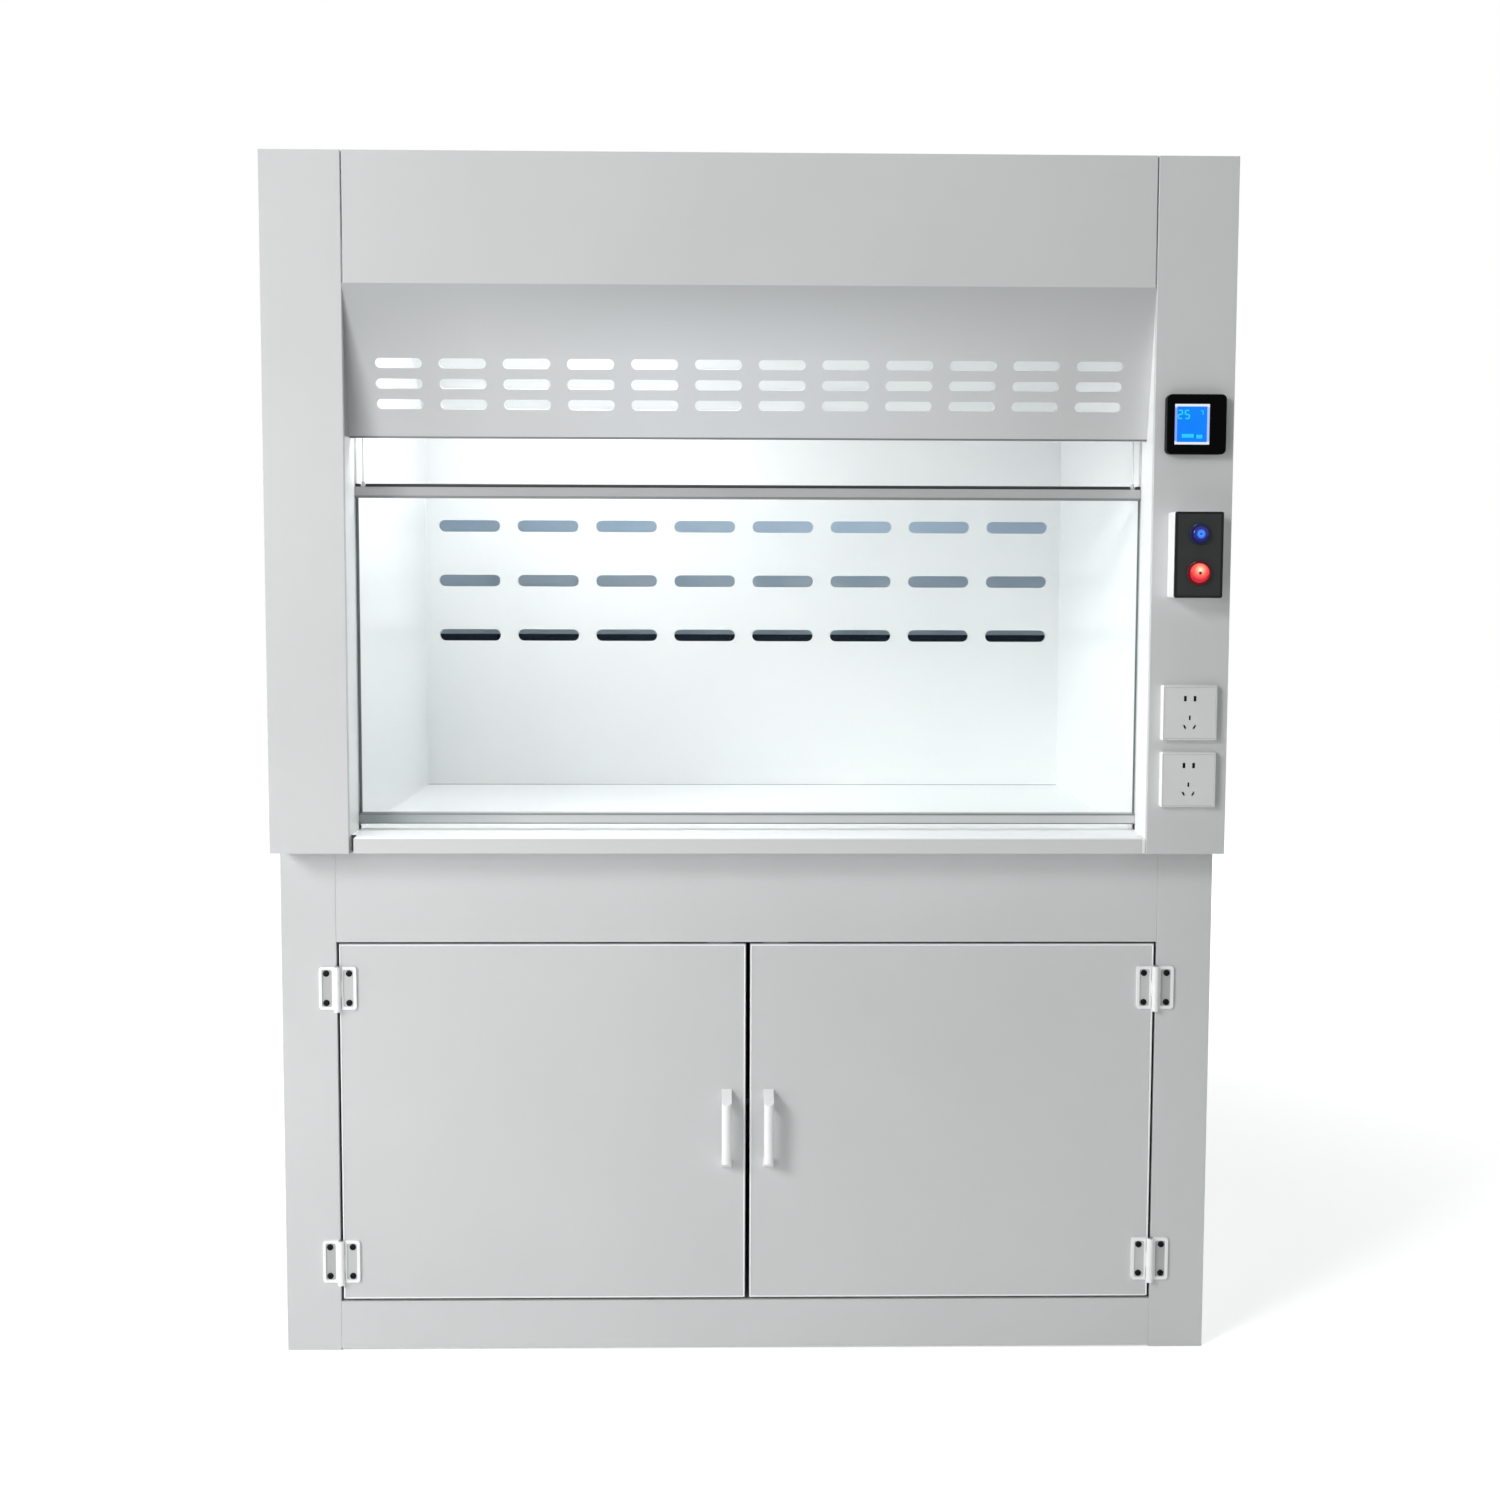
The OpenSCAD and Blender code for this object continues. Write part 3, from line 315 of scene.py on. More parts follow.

# %% [markdown]
# ### Extruded polypropylene sheet
# The hood is welded from pale grey polypropylene sheet. The sheet comes off polished
# rollers, so it is satin, slightly waxy, with a faint orange peel and no grain. The lining
# of the chamber is the same sheet in white, cleaner and a little glossier. The jambs are
# white; above the header the left one is painted grey, as painted shade. The worktop's
# front edge is cut from grey sheet, with a white nose over it, and its left notch is
# painted dark as painted shade. The panel under the fold is painted darker in a band just
# under the fold and in its left corner, as painted shade and the post's painted shadow,
# and lighter in the middle, as painted light.

# %% Sheet finishes
pp_ior = 1.49
grey_drift, sheet_grain = ("#cacccc", "#d3d5d5", 0.35, 0.34, 0.46), (0.006, 0.00006)
white_drift, lining_grain = ("#f0f3f3", "#f6f7f7", 0.22, 0.3, 0.4), (0.02, 0.00004)
finishes["polypropylene"] = plastic("PolypropyleneSheet", "#cfd1d1", 0.38, pp_ior, grey_drift, sheet_grain)
finishes["chamber_lining"] = plastic(
    "PolypropyleneLining", "#f3f5f5", 0.34, pp_ior, white_drift, lining_grain)

header_z, fold_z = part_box("inlet_panel")[0][2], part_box("inlet_panel")[1][2]
jamb_sheet = plastic("JambSheet", "#f3f5f5", 0.34, pp_ior, white_drift)
over, under, fade, every = masks(jamb_sheet)
# Painted shade: above the header the left jamb is painted grey.
paint_over(jamb_sheet, every(over("Z", header_z), under("X", 0)), "#a4a7a7")

fold_shade_h, fold_shade_edge = 0.11, 0.004
bent_sheet = plastic("BentSheet", "#cfd1d1", 0.38, pp_ior, grey_drift, sheet_grain)
over, under, fade, every = masks(bent_sheet)
# Painted light in the middle of the panel, painted shade in a band under the fold, and the left post's
# painted shadow in its left corner.
painted_light_middle = every(fade("X", -0.5, -0.15), fade("X", 0.5, 0.1))
paint_over(bent_sheet, painted_light_middle, "#dcdfe1")
paint_over(bent_sheet, fade("Z", fold_z - fold_shade_h, fold_z - fold_shade_edge), "#bcbfc0")
painted_shadow_corner = every(fade("X", -0.42, -0.62), fade("Z", header_z, fold_z))
paint_over(bent_sheet, painted_shadow_corner, "#b2b5b6")

sill_top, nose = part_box("worktop")[1][2], 0.0035
notch_x, front_y = 0.6185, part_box("worktop")[0][1]
sill_drift = ("#f5f7f7", "#fafbfb", 0.22, 0.3, 0.4)
worktop_sheet = plastic("WorktopSheet", "#f8f9f9", 0.34, pp_ior, sill_drift)
over, under, fade, every = masks(worktop_sheet)
cut_edge = every(under("Y", -0.5, True), under("Z", sill_top - nose))
paint_over(worktop_sheet, cut_edge, "#d6d7d7")
# Painted shade: the faces of the left notch are painted dark.
left_notch_shade = every(under("X", -notch_x), over("Y", front_y + 0.001), under("Z", 0.5, True))
paint_over(worktop_sheet, left_notch_shade, "#595b5c")
print("header at", round(header_z, 4), "fold at", round(fold_z, 4))

# %% [markdown]
# ### Moulded plastics
# Handles, catches and the switch box are injection moulded in white. A moulding copies a
# finely eroded mould, so it has a tight, even grain. A hinge leaf is smooth on its rim, and
# the floor of its recess is painted grey as painted shade, darker on the leaf at the stile:
# the finish finds that floor by its depth and by the way it faces. The socket plates are
# pale grey polycarbonate, and their faces that look left are painted white as a painted
# highlight. The controller is so deep a black that its gloss is turned down.

# %% White mouldings
finishes["white_plastic"] = plastic(
    "MouldedWhitePlastic", "#f6f7f7", 0.3, 1.5, ("#f3f4f4", "#f9fafa", 0.05, 0.26, 0.36),
    (0.0012, 0.00002))

rim_depth, leaf_front = 0.0008, -0.341
hinge_nylon = {}
# Painted shade: each leaf's recess floor is painted grey, darker on the stile's leaf.
for leaf, recess_shade in (("stile", "#b3b6b5"), ("door", "#c8caca")):
    made = plastic(f"HingeNylon_{leaf}", "#f8f9f9", 0.3, 1.53,
                   ("#f5f6f6", "#fbfbfb", 0.05, 0.28, 0.38), (0.0012, 0.00003))
    over, under, fade, every = masks(made)
    paint_over(made, every(over("Y", leaf_front + rim_depth), under("Y", -0.5, True)), recess_shade)
    hinge_nylon[leaf] = made

socket_grey = plastic("SocketPolycarbonate", "#dcdddc", 0.24, 1.58,
                      ("#d9dad9", "#dfe0df", 0.04, 0.2, 0.3), (0.001, 0.00001))
over, under, fade, every = masks(socket_grey)
# Painted highlight: faces that look left are painted white.
paint_over(socket_grey, under("X", -0.3, True), "#ffffff")
print("white mouldings", finishes["white_plastic"].name, *(m.name for m in hinge_nylon.values()))

# %% Dark mouldings
finishes["black_plastic"] = plastic(
    "GlossyBlackPlastic", "#030304", 0.22, 1.52, ("#020203", "#050506", 0.03, 0.18, 0.28),
    (0.002, 0.00001), Specular_IOR_Level=0.03)

low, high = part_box("switch_face")
plate_rim = 0.0038
middle_x, middle_z = (low[0] + high[0]) / 2, (low[2] + high[2]) / 2
made = plastic("CharcoalFacePlate", "#313433", 0.45, 1.5, ("#2d302f", "#373a39", 0.03, 0.4, 0.52),
               (0.0008, 0.00003), Specular_IOR_Level=0.2)
tree = made.node_tree
place = add(tree, "ShaderNodeTexCoord")
middle = add(tree, "ShaderNodeVectorMath", operation="SUBTRACT",
             inputs={0: place.outputs["Object"], 1: (middle_x, 0, middle_z)})
off = add(tree, "ShaderNodeVectorMath", {0: middle.outputs[0]}, operation="ABSOLUTE")
off_axes = add(tree, "ShaderNodeSeparateXYZ", {0: off.outputs[0]})
near_side = add(tree, "ShaderNodeMath", operation="GREATER_THAN",
                inputs={0: off_axes.outputs["X"], 1: (high[0] - low[0]) / 2 - plate_rim})
near_end = add(tree, "ShaderNodeMath", operation="GREATER_THAN",
               inputs={0: off_axes.outputs["Z"], 1: (high[2] - low[2]) / 2 - plate_rim})
rim = add(tree, "ShaderNodeMath", {0: near_side.outputs[0], 1: near_end.outputs[0]}, operation="MAXIMUM")
paint_over(made, rim.outputs[0], "#161918")
finishes["charcoal_plate"] = made
print("face plate", round(high[0] - low[0], 4), "by", round(high[2] - low[2], 4))

# %% Profile and pulley plastics
drawn_grain = (0.0015, 0.00003, (0.02, 1, 1))
finishes["grey_profile"] = plastic(
    "PvcProfile", "#b4b5b6", 0.34, 1.53, ("#adafb0", "#babbbc", 0.12, 0.3, 0.42), drawn_grain)

bottom_profile = plastic(
    "BottomProfile", "#d0d3d3", 0.34, 1.53, ("#cccfcf", "#d4d7d7", 0.12, 0.3, 0.42), drawn_grain)
over, under, fade, every = masks(bottom_profile)
# Painted shade: the lower rail darkens towards its left end.
paint_over(bottom_profile, fade("X", -0.36, -0.6), "#9ba3a6")

dark_strip = plastic("DarkPvcStrip", "#06121c", 0.5, 1.53, ("#040e17", "#0a1824", 0.1, 0.45, 0.55),
                     drawn_grain, Specular_IOR_Level=0.05)
finishes["pulley_nylon"] = plastic(
    "TurnedNylon", "#dcdacf", 0.4, 1.53, ("#d6d3c6", "#e2e0d6", 0.02, 0.35, 0.48), (0.0008, 0.00003))
print("plastics", len(finishes))

# %% [markdown]
# ### Metal and rubber
# Brackets and the lamp housing are galvanised sheet, with its pattern of zinc crystals
# a centimetre wide. The counterweights are cast iron under thin grey paint. Rubber is
# nearly black, dull, and slightly dusty.

# %% Metal and rubber
made, tree, shader = material("GalvanisedSteel", "#b8bbbd", 0.36, Metallic=1.0)
place = add(tree, "ShaderNodeTexCoord")
crystal = 0.01
spangle = add(tree, "ShaderNodeTexVoronoi", {"Vector": place.outputs["Object"], "Scale": 1 / crystal})
shade = add(tree, "ShaderNodeMix", data_type="RGBA",
            inputs={0: spangle.outputs["Color"], 6: colour("#a6aaad"), 7: colour("#c8cbcd")})
gloss = add(tree, "ShaderNodeMapRange",
            {"Value": spangle.outputs["Distance"], "To Min": 0.28, "To Max": 0.46})
tree.links.new(shade.outputs[2], shader.inputs["Base Color"])
tree.links.new(gloss.outputs[0], shader.inputs["Roughness"])
finishes["steel"] = made

plain_ior = 1.5
finishes["iron"] = plastic("PaintedCastIron", "#54585a", 0.5, plain_ior,
                           ("#4a4e50", "#5d6163", 0.04, 0.42, 0.6), (0.0025, 0.00025))
finishes["rubber"] = plastic("MouldedRubber", "#2b2c2d", 0.7, 1.52,
                             ("#232425", "#343536", 0.01, 0.6, 0.8), (0.0015, 0.00004))
black_oxide = plastic("BlackOxideSteel", "#17181a", 0.4, plain_ior,
                      ("#101113", "#1f2123", 0.004, 0.32, 0.5), Metallic=0.8)
print("finishes so far", len(finishes))

# %% [markdown]
# ### Glass, lamps and display
# The sash is a clear safety glass with a coating that takes most of its reflection. Rays
# from lamps pass it unbent, because a path tracer would else leave the chamber dark. The
# diffuser is opal acrylic that glows evenly. The two lenses are brightest near the lamp
# behind them, which shows as a dark dot in the middle, and their colour deepens to the rim.
# On the red lens that brightest place sits above the middle, partly the lamp's glow and
# partly a painted highlight. The smoked ring around each lens has a painted glow, blue in
# its upper half and red in its lower, for the lens light it shows.

# %% Glass
made, tree, shader = material("ClearSafetyGlass", "#fdfefe", 0.0, IOR=1.46, Transmission_Weight=1.0)
shader.inputs["Specular Tint"].default_value = colour("#5a5a5a")
output = tree.nodes["Material Output"]
rays = add(tree, "ShaderNodeLightPath")
indirect = add(tree, "ShaderNodeMath", operation="MAXIMUM",
               inputs={0: rays.outputs["Is Shadow Ray"], 1: rays.outputs["Is Diffuse Ray"]})
clear = add(tree, "ShaderNodeBsdfTransparent", {"Color": colour("#fcfdfd")})
pane = add(tree, "ShaderNodeMixShader",
           {0: indirect.outputs[0], 1: shader.outputs[0], 2: clear.outputs[0]})
tree.links.new(pane.outputs[0], output.inputs["Surface"])
finishes["sash_glass"] = made
print("glass", made.name)

# %% Diffuser and display
made, tree, shader = material("OpalAcrylic", "#f6f9f9", 0.5, IOR=1.49, Emission_Strength=0.9)
drift(tree, shader, "#f2f6f6", "#f8fbfb", 0.1, 0.45, 0.55)
shader.inputs["Emission Color"].default_value = colour("#f6fbfb")
finishes["lamp_white"] = made

made, tree, shader = material("BacklitDisplay", "#031022", 0.3, IOR=1.5,
                              Emission_Strength=0.97, Specular_IOR_Level=0.1)
place = drift(tree, shader, "#020c1c", "#041428", 0.03, 0.25, 0.35)
backlight = add(tree, "ShaderNodeTexNoise",
                {"Vector": place.outputs["Object"], "Scale": 1 / 0.04, "Detail": 1.0})
shine = add(tree, "ShaderNodeMix", data_type="RGBA",
            inputs={0: backlight.outputs["Fac"], 6: colour("#0076ff"), 7: colour("#0a8cff")})
tree.links.new(shine.outputs[2], shader.inputs["Emission Color"])
finishes["display"] = made


# %% Lenses and their rings
def lens_finish(name, node, stops, strength, glow_and_highlight_up, dot):
    """A lens over a lamp: colour from its brightest place to the rim, and a dark dot."""
    low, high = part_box(node)
    centre, radius = ((low[0] + high[0]) / 2, (low[2] + high[2]) / 2), (high[0] - low[0]) / 2
    made, tree, shader = material(name, stops[-1][1], 0.14, IOR=1.49, Emission_Strength=strength)
    place = add(tree, "ShaderNodeTexCoord")
    shares = []
    for up in (glow_and_highlight_up, 0.0):
        middle = add(tree, "ShaderNodeMapping", {
            "Vector": place.outputs["Object"], "Scale": (1 / radius, 0, 1 / radius),
            "Location": (-centre[0] / radius, 0, -centre[1] / radius - up)})
        shares.append(add(tree, "ShaderNodeVectorMath", {0: middle.outputs[0]}, operation="LENGTH"))
    ramp = add(tree, "ShaderNodeValToRGB", {"Fac": shares[0].outputs["Value"]})
    while len(ramp.color_ramp.elements) < len(stops):
        ramp.color_ramp.elements.new(0.5)
    for element, (at, hex_code) in zip(ramp.color_ramp.elements, stops):
        element.position = at
        element.color = colour(hex_code)
    dot_edge = 0.07
    spot = add(tree, "ShaderNodeMapRange", {
        "Value": shares[1].outputs["Value"], "From Min": dot[0], "From Max": dot[0] + dot_edge,
        "To Min": 1.0, "To Max": 0.0})
    face = add(tree, "ShaderNodeMix", data_type="RGBA",
               inputs={0: spot.outputs[0], 6: ramp.outputs["Color"], 7: colour(dot[1])})
    for socket in ("Base Color", "Emission Color"):
        tree.links.new(face.outputs[2], shader.inputs[socket])
    return made


blue_stops = [(0.0, "#3a94ff"), (0.42, "#2e78ff"), (0.56, "#0c28b8"), (0.7, "#02084c"), (1.0, "#081468")]
red_stops = [(0.0, "#ffe4d4"), (0.26, "#ffa888"), (0.6, "#ff5c48"), (0.86, "#f42c3c"), (1.0, "#b80c20")]
finishes["blue_lens"] = lens_finish("BlueLens", "blue_button", blue_stops, 0.55, 0.0, (0.13, "#0a2c88"))
# On the red lens the brightest place is raised: partly lamp glow, partly a painted highlight.
finishes["red_lens"] = lens_finish("RedLens", "red_button", red_stops, 0.6, 0.34, (0.13, "#3a0c04"))

low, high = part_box("button_bezels")
made, tree, shader = material("SmokedRing", "#0c0c12", 0.3, IOR=1.5,
                              Emission_Strength=0.14, Specular_IOR_Level=0.2)
place = drift(tree, shader, "#06060c", "#0c0c12", 0.01, 0.25, 0.35)
height = add(tree, "ShaderNodeSeparateXYZ", {0: place.outputs["Object"]})
upper = add(tree, "ShaderNodeMath", operation="GREATER_THAN",
            inputs={0: height.outputs["Z"], 1: (low[2] + high[2]) / 2})
# Painted glow: the black ring glows blue above and red below, for the lens light on it.
painted_glow = add(tree, "ShaderNodeMix", data_type="RGBA",
             inputs={0: upper.outputs[0], 6: colour("#c4122c"), 7: colour("#343ca6")})
tree.links.new(painted_glow.outputs[2], shader.inputs["Emission Color"])
smoked_ring = made
print("finishes", sorted(finishes))

# %% [markdown]
# ## Dress the solids
# The record says which finish each solid has, so one loop dresses them all. A few solids
# differ from their slot's usual finish: the socket plates are greyer than the handles, with
# painted highlights, the hinge leaves have painted shade in their recess, the jambs and the
# worktop carry painted shade, the lower rail is paler than the upper one and painted darker
# to its left end as shade, and the rings have a painted coloured glow.

# %% Finish every solid
special = {"socket_plates": socket_grey, "socket_inserts": socket_grey, "jambs": jamb_sheet,
           "inlet_panel": bent_sheet, "worktop": worktop_sheet, "sash_bottom_rail": bottom_profile,
           "hinge_frame_leaves": hinge_nylon["stile"], "button_bezels": smoked_ring,
           "hinge_door_leaves_left": hinge_nylon["door"],
           "hinge_door_leaves_right": hinge_nylon["door"]}
for part in frame["record"]["subparts"]:
    solid = nodes[part["node"]]
    solid.data.materials.clear()
    solid.data.materials.append(special.get(part["node"], finishes[part["material_slot"]]))

# %% [markdown]
# ## Making pieces
# A piece is a mesh with its place in its vertices. `piece` links it, gives it a finish and
# the body that it rides on. `grow` runs a Geometry Nodes tree on a small seed mesh, and
# keeps the result as a plain mesh. `set_copies` uses both for all small parts that repeat.

# %% Piece helpers


def piece(name, mesh, finish, body=None, smooth=40):
    """Links a mesh as a piece, with edges sharper than the angle kept sharp."""
    mesh.name = name
    if finish is not None:
        mesh.materials.clear()
        mesh.materials.append(finish)
    mesh.polygons.foreach_set("use_smooth", [True] * len(mesh.polygons))
    mesh.set_sharp_from_angle(angle=math.radians(smooth))
    made = bpy.data.objects.new(name, mesh)
    scene.collection.objects.link(made)
    if body:
        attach(made, body)
    print(name, len(mesh.polygons), "faces")
    return made


def grow(tree, seed, values):
    """Runs a tree on a seed mesh with named inputs, and returns the plain mesh."""
    holder = bpy.data.objects.new("seed", seed)
    scene.collection.objects.link(holder)
    modifier = holder.modifiers.new("grow", "NODES")
    modifier.node_group = tree
    for item in tree.interface.items_tree:
        if item.name in values:
            modifier[item.identifier] = values[item.name]
    graph = bpy.context.evaluated_depsgraph_get()
    graph.update()
    mesh = bpy.data.meshes.new_from_object(holder.evaluated_get(graph))
    bpy.data.objects.remove(holder)
    return mesh


def new_tree(name, **inputs):
    """An empty Geometry Nodes tree with a geometry input and named inputs."""
    tree = bpy.data.node_groups.new(name, "GeometryNodeTree")
    tree.interface.new_socket("Geometry", in_out="INPUT", socket_type="NodeSocketGeometry")
    tree.interface.new_socket("Geometry", in_out="OUTPUT", socket_type="NodeSocketGeometry")
    kinds = {float: "NodeSocketFloat", bpy.types.Material: "NodeSocketMaterial",
             bpy.types.Object: "NodeSocketObject"}
    for label, kind in inputs.items():
        tree.interface.new_socket(label.replace("_", " "), in_out="INPUT", socket_type=kinds[kind])
    return tree, add(tree, "NodeGroupInput")


def end_tree(tree, geometry, finish):
    """Ends a tree with Realize Instances and Set Material."""
    real = add(tree, "GeometryNodeRealizeInstances", {"Geometry": geometry})
    dressed = add(tree, "GeometryNodeSetMaterial", {"Geometry": real.outputs[0], "Material": finish})
    add(tree, "NodeGroupOutput", {"Geometry": dressed.outputs[0]})


def seed_points(places, turns=None):
    """A mesh of loose points, with three angles for each."""
    mesh = bpy.data.meshes.new("points")
    mesh.from_pydata([tuple(p) for p in places], [], [])
    angles = mesh.attributes.new("turn", "FLOAT_VECTOR", "POINT")
    angles.data.foreach_set("vector", [a for turn in turns or [(0, 0, 0)] * len(places) for a in turn])
    return mesh


def copies_tree(name):
    """A tree that sets copies of a part on its points, each turned by its point's angles."""
    tree, given = new_tree(name, Part=bpy.types.Object, Finish=bpy.types.Material)
    pattern = add(tree, "GeometryNodeObjectInfo", {"Object": given.outputs["Part"]})
    turned = add(tree, "GeometryNodeInputNamedAttribute", {"Name": "turn"}, data_type="FLOAT_VECTOR")
    placed = add(tree, "GeometryNodeInstanceOnPoints", {
        "Points": given.outputs["Geometry"], "Instance": pattern.outputs["Geometry"],
        "Rotation": turned.outputs["Attribute"]})
    end_tree(tree, placed.outputs[0], given.outputs["Finish"])
    return tree


def set_copies(name, shape, finish, body, places, turns=None, smooth=40):
    """A piece made of copies of one shape, with a copy on each place."""
    pattern = bpy.data.objects.new(f"{name}_pattern", shape)
    scene.collection.objects.link(pattern)
    mesh = grow(copies, seed_points(places, turns), {"Part": pattern, "Finish": finish})
    bpy.data.objects.remove(pattern)
    piece(name, mesh, None, body, smooth)


def seed_lines(lines):
    """A mesh of separate polylines, each a list of points."""
    mesh = bpy.data.meshes.new("lines")
    points, edges = [], []
    for line in lines:
        edges += [(len(points) + i, len(points) + i + 1) for i in range(len(line) - 1)]
        points += [tuple(p) for p in line]
    mesh.from_pydata(points, edges, [])
    return mesh


def bars(parts, round_over):
    """One mesh of several bars with rounded edges, each with its lowest and highest corner."""
    made = bmesh.new()
    for low, high in parts:
        low, high = Vector(low), Vector(high)
        cube = bmesh.ops.create_cube(made, size=1.0)
        bmesh.ops.scale(made, vec=high - low, verts=cube["verts"])
        bmesh.ops.translate(made, vec=(low + high) / 2, verts=cube["verts"])
    bmesh.ops.bevel(made, geom=made.edges[:], offset=round_over, segments=2, profile=0.5,
                    affect="EDGES", clamp_overlap=True)
    return finished(made, "bars")


def finished(made, name):
    """Turns a bmesh into a mesh, with all faces outwards."""
    bmesh.ops.recalc_face_normals(made, faces=made.faces)
    mesh = bpy.data.meshes.new(name)
    made.to_mesh(mesh)
    made.free()
    return mesh


copies = copies_tree("copies")
print("tree for copies has", len(copies.nodes), "nodes")

# %% [markdown]
# ## Hinge screws
# Each hinge leaf is held by two pan-head screws in black oxide, sunk in the leaf's recess.
# The head is one grid of quads pressed into a round dome, with the cross recess pushed in
# between its own grid lines, so that its walls are crisp. The tree sets one head on each
# point, turned as the screwdriver left it.

# %% A cross-recess screw head


def screw_head(radius, height, recess):
    """A domed head around the Y axis, facing -Y, with a cross recess."""
    arm, long = 0.16, 0.62
    near = [0, arm, arm + 0.03, 0.36, long - 0.04, long, 0.86, 1]
    lines = [-n for n in near[:0:-1]] + near
    made = bmesh.new()
    grid = []
    for v in lines:
        row = []
        for u in lines:
            x, z = u * math.sqrt(1 - v * v / 2), v * math.sqrt(1 - u * u / 2)
            dome = height * math.sqrt(max(0.0, 1 - (0.9 * math.hypot(x, z)) ** 2.4))
            small, large = sorted((abs(u), abs(v)))
            inside = small <= arm and large <= long - 0.02
            row.append(made.verts.new((x * radius, (recess if inside else 0) - dome, z * radius)))
        grid.append(row)
    last = len(lines) - 1
    for i in range(last):
        for j in range(last):
            made.faces.new((grid[i][j], grid[i][j + 1], grid[i + 1][j + 1], grid[i + 1][j]))
    rim = [grid[0][j] for j in range(last)] + [grid[i][last] for i in range(last)]
    rim += [grid[last][j] for j in range(last, 0, -1)] + [grid[i][0] for i in range(last, 0, -1)]
    foot = [made.verts.new((v.co.x, 0, v.co.z)) for v in rim]
    for i in range(len(rim)):
        j = (i + 1) % len(rim)
        made.faces.new((rim[i], rim[j], foot[j], foot[i]))
    made.faces.new(foot)
    return finished(made, "screw_head")


hinge_x = 0.660
door_low, door_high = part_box("door_left")
hinge_levels = (door_high[2] - 0.071, door_low[2] + 0.064)
screw_off, screw_rise = 0.0184, 0.024
leaf_floor = leaf_front + 0.0015
head = screw_head(0.0051, 0.0022, 0.0013)
print("screws at heights", [round(z + s * screw_rise, 4) for z in hinge_levels for s in (-1, 1)])

# %% Set the screws
for label, side, away in (("stile", -1, 1), ("stile", 1, 1), ("door", -1, -1), ("door", 1, -1)):
    hand = "left" if side < 0 else "right"
    x = side * (hinge_x + away * screw_off)
    places = [(x, leaf_floor, z + s * screw_rise) for z in hinge_levels for s in (-1, 1)]
    turns = [(0, 0.3 + 1.7 * i + 0.5 * side + away, 0) for i in range(len(places))]
    set_copies(f"{label}_screws_{hand}", head, black_oxide,
               "hood" if label == "stile" else f"{hand}_door", places, turns, smooth=35)

# %% [markdown]
# ## Weld beads
# Polypropylene sheets are joined with a hot-air welded rod, which leaves a rounded bead
# with small ripples in every inner corner. The tree sweeps a round profile along each
# seam, and a noise that runs along the seam swells and thins it.

# %% Weld beads
welds, given = new_tree("welds", Radius=float, Step=float, Ripple=float, Finish=bpy.types.Material)
seams = add(welds, "GeometryNodeMeshToCurve", {"Mesh": given.outputs["Geometry"]})
fine = add(welds, "GeometryNodeResampleCurve", mode="LENGTH",
           inputs={"Curve": seams.outputs[0], "Length": given.outputs["Step"]})
noise = add(welds, "ShaderNodeTexNoise", {"Scale": 140.0, "Detail": 1.0})
spread = add(welds, "ShaderNodeMath", {0: 1.0, 1: given.outputs["Ripple"]}, operation="ADD")
swell = add(welds, "ShaderNodeMapRange", {
    "Value": noise.outputs["Fac"], "From Min": 0.3, "From Max": 0.7,
    "To Min": 0.8, "To Max": spread.outputs[0]})
rod = add(welds, "GeometryNodeCurvePrimitiveCircle",
          {"Resolution": 8, "Radius": given.outputs["Radius"]})
swept = add(welds, "GeometryNodeCurveToMesh", {
    "Curve": fine.outputs[0], "Profile Curve": rod.outputs["Curve"],
    "Scale": swell.outputs[0], "Fill Caps": True})
end_tree(welds, swept.outputs[0], given.outputs["Finish"])


def weld(name, lines, radius, step, ripple, finish, body="hood"):
    """A piece of round bead along each line."""
    settings = {"Radius": radius, "Step": step, "Ripple": ripple, "Finish": finish}
    piece(name, grow(welds, seed_lines(lines), settings), None, body)


def ring(x, y, z, radius, steps=96):
    """A closed circle of points around the Z axis."""
    angles = [2 * math.pi * i / steps for i in range(steps + 1)]
    return [(x + radius * math.cos(a), y + radius * math.sin(a), z) for a in angles]


# %% Lay the welds
side_x, inner_x = 0.626, 0.742
floor_z, baffle_y, baffle_top = 0.8485, 0.321, 1.5595
ceiling_low, ceiling_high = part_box("ceiling")
plenum_y, upper_top, ceiling_z = ceiling_high[1], 1.780, ceiling_low[2]
chamber_seams = []
for x in (-side_x, side_x):
    chamber_seams += [
        [(x, -0.250, floor_z), (x, baffle_y, floor_z)],
        [(x, baffle_y, floor_z), (x, baffle_y, baffle_top), (x, plenum_y, upper_top)],
        [(x, ceiling_low[1] + 0.012, ceiling_z), (x, plenum_y, ceiling_z)],
    ]
weld("chamber_welds", chamber_seams, 0.0016, 0.006, 0.25, finishes["chamber_lining"])
foot_seam = [[(-side_x, baffle_y, floor_z), (side_x, baffle_y, floor_z)]]
weld("baffle_sealant", foot_seam, 0.0013, 0.006, 0.2, finishes["grey_profile"])

cabinet_floor_z, back_y, front_seam_y, bench_under_z = 0.078, 0.443, -0.329, 0.830
roof_z, flange_z, spigot_y = 1.910, 1.916, 0.251
shell_seams = [ring(0, spigot_y, roof_z, 0.155), ring(0, spigot_y, flange_z, 0.125)]
for x in (-inner_x, inner_x):
    back_foot = (x, back_y, cabinet_floor_z)
    shell_seams += [[(x, front_seam_y, cabinet_floor_z), back_foot], [back_foot, (x, back_y, bench_under_z)]]
shell_seams.append([(-inner_x, back_y, cabinet_floor_z), (inner_x, back_y, cabinet_floor_z)])
weld("shell_welds", shell_seams, 0.002, 0.007, 0.25, finishes["polypropylene"])

# %% [markdown]
# ## Painted door-edge highlights
# The doors are cut from sheet and their front edges are rounded over. A white rim swept
# round each door is a painted highlight for the thin pale line those edges catch. The tree
# that swept the welds sweeps it round each door.

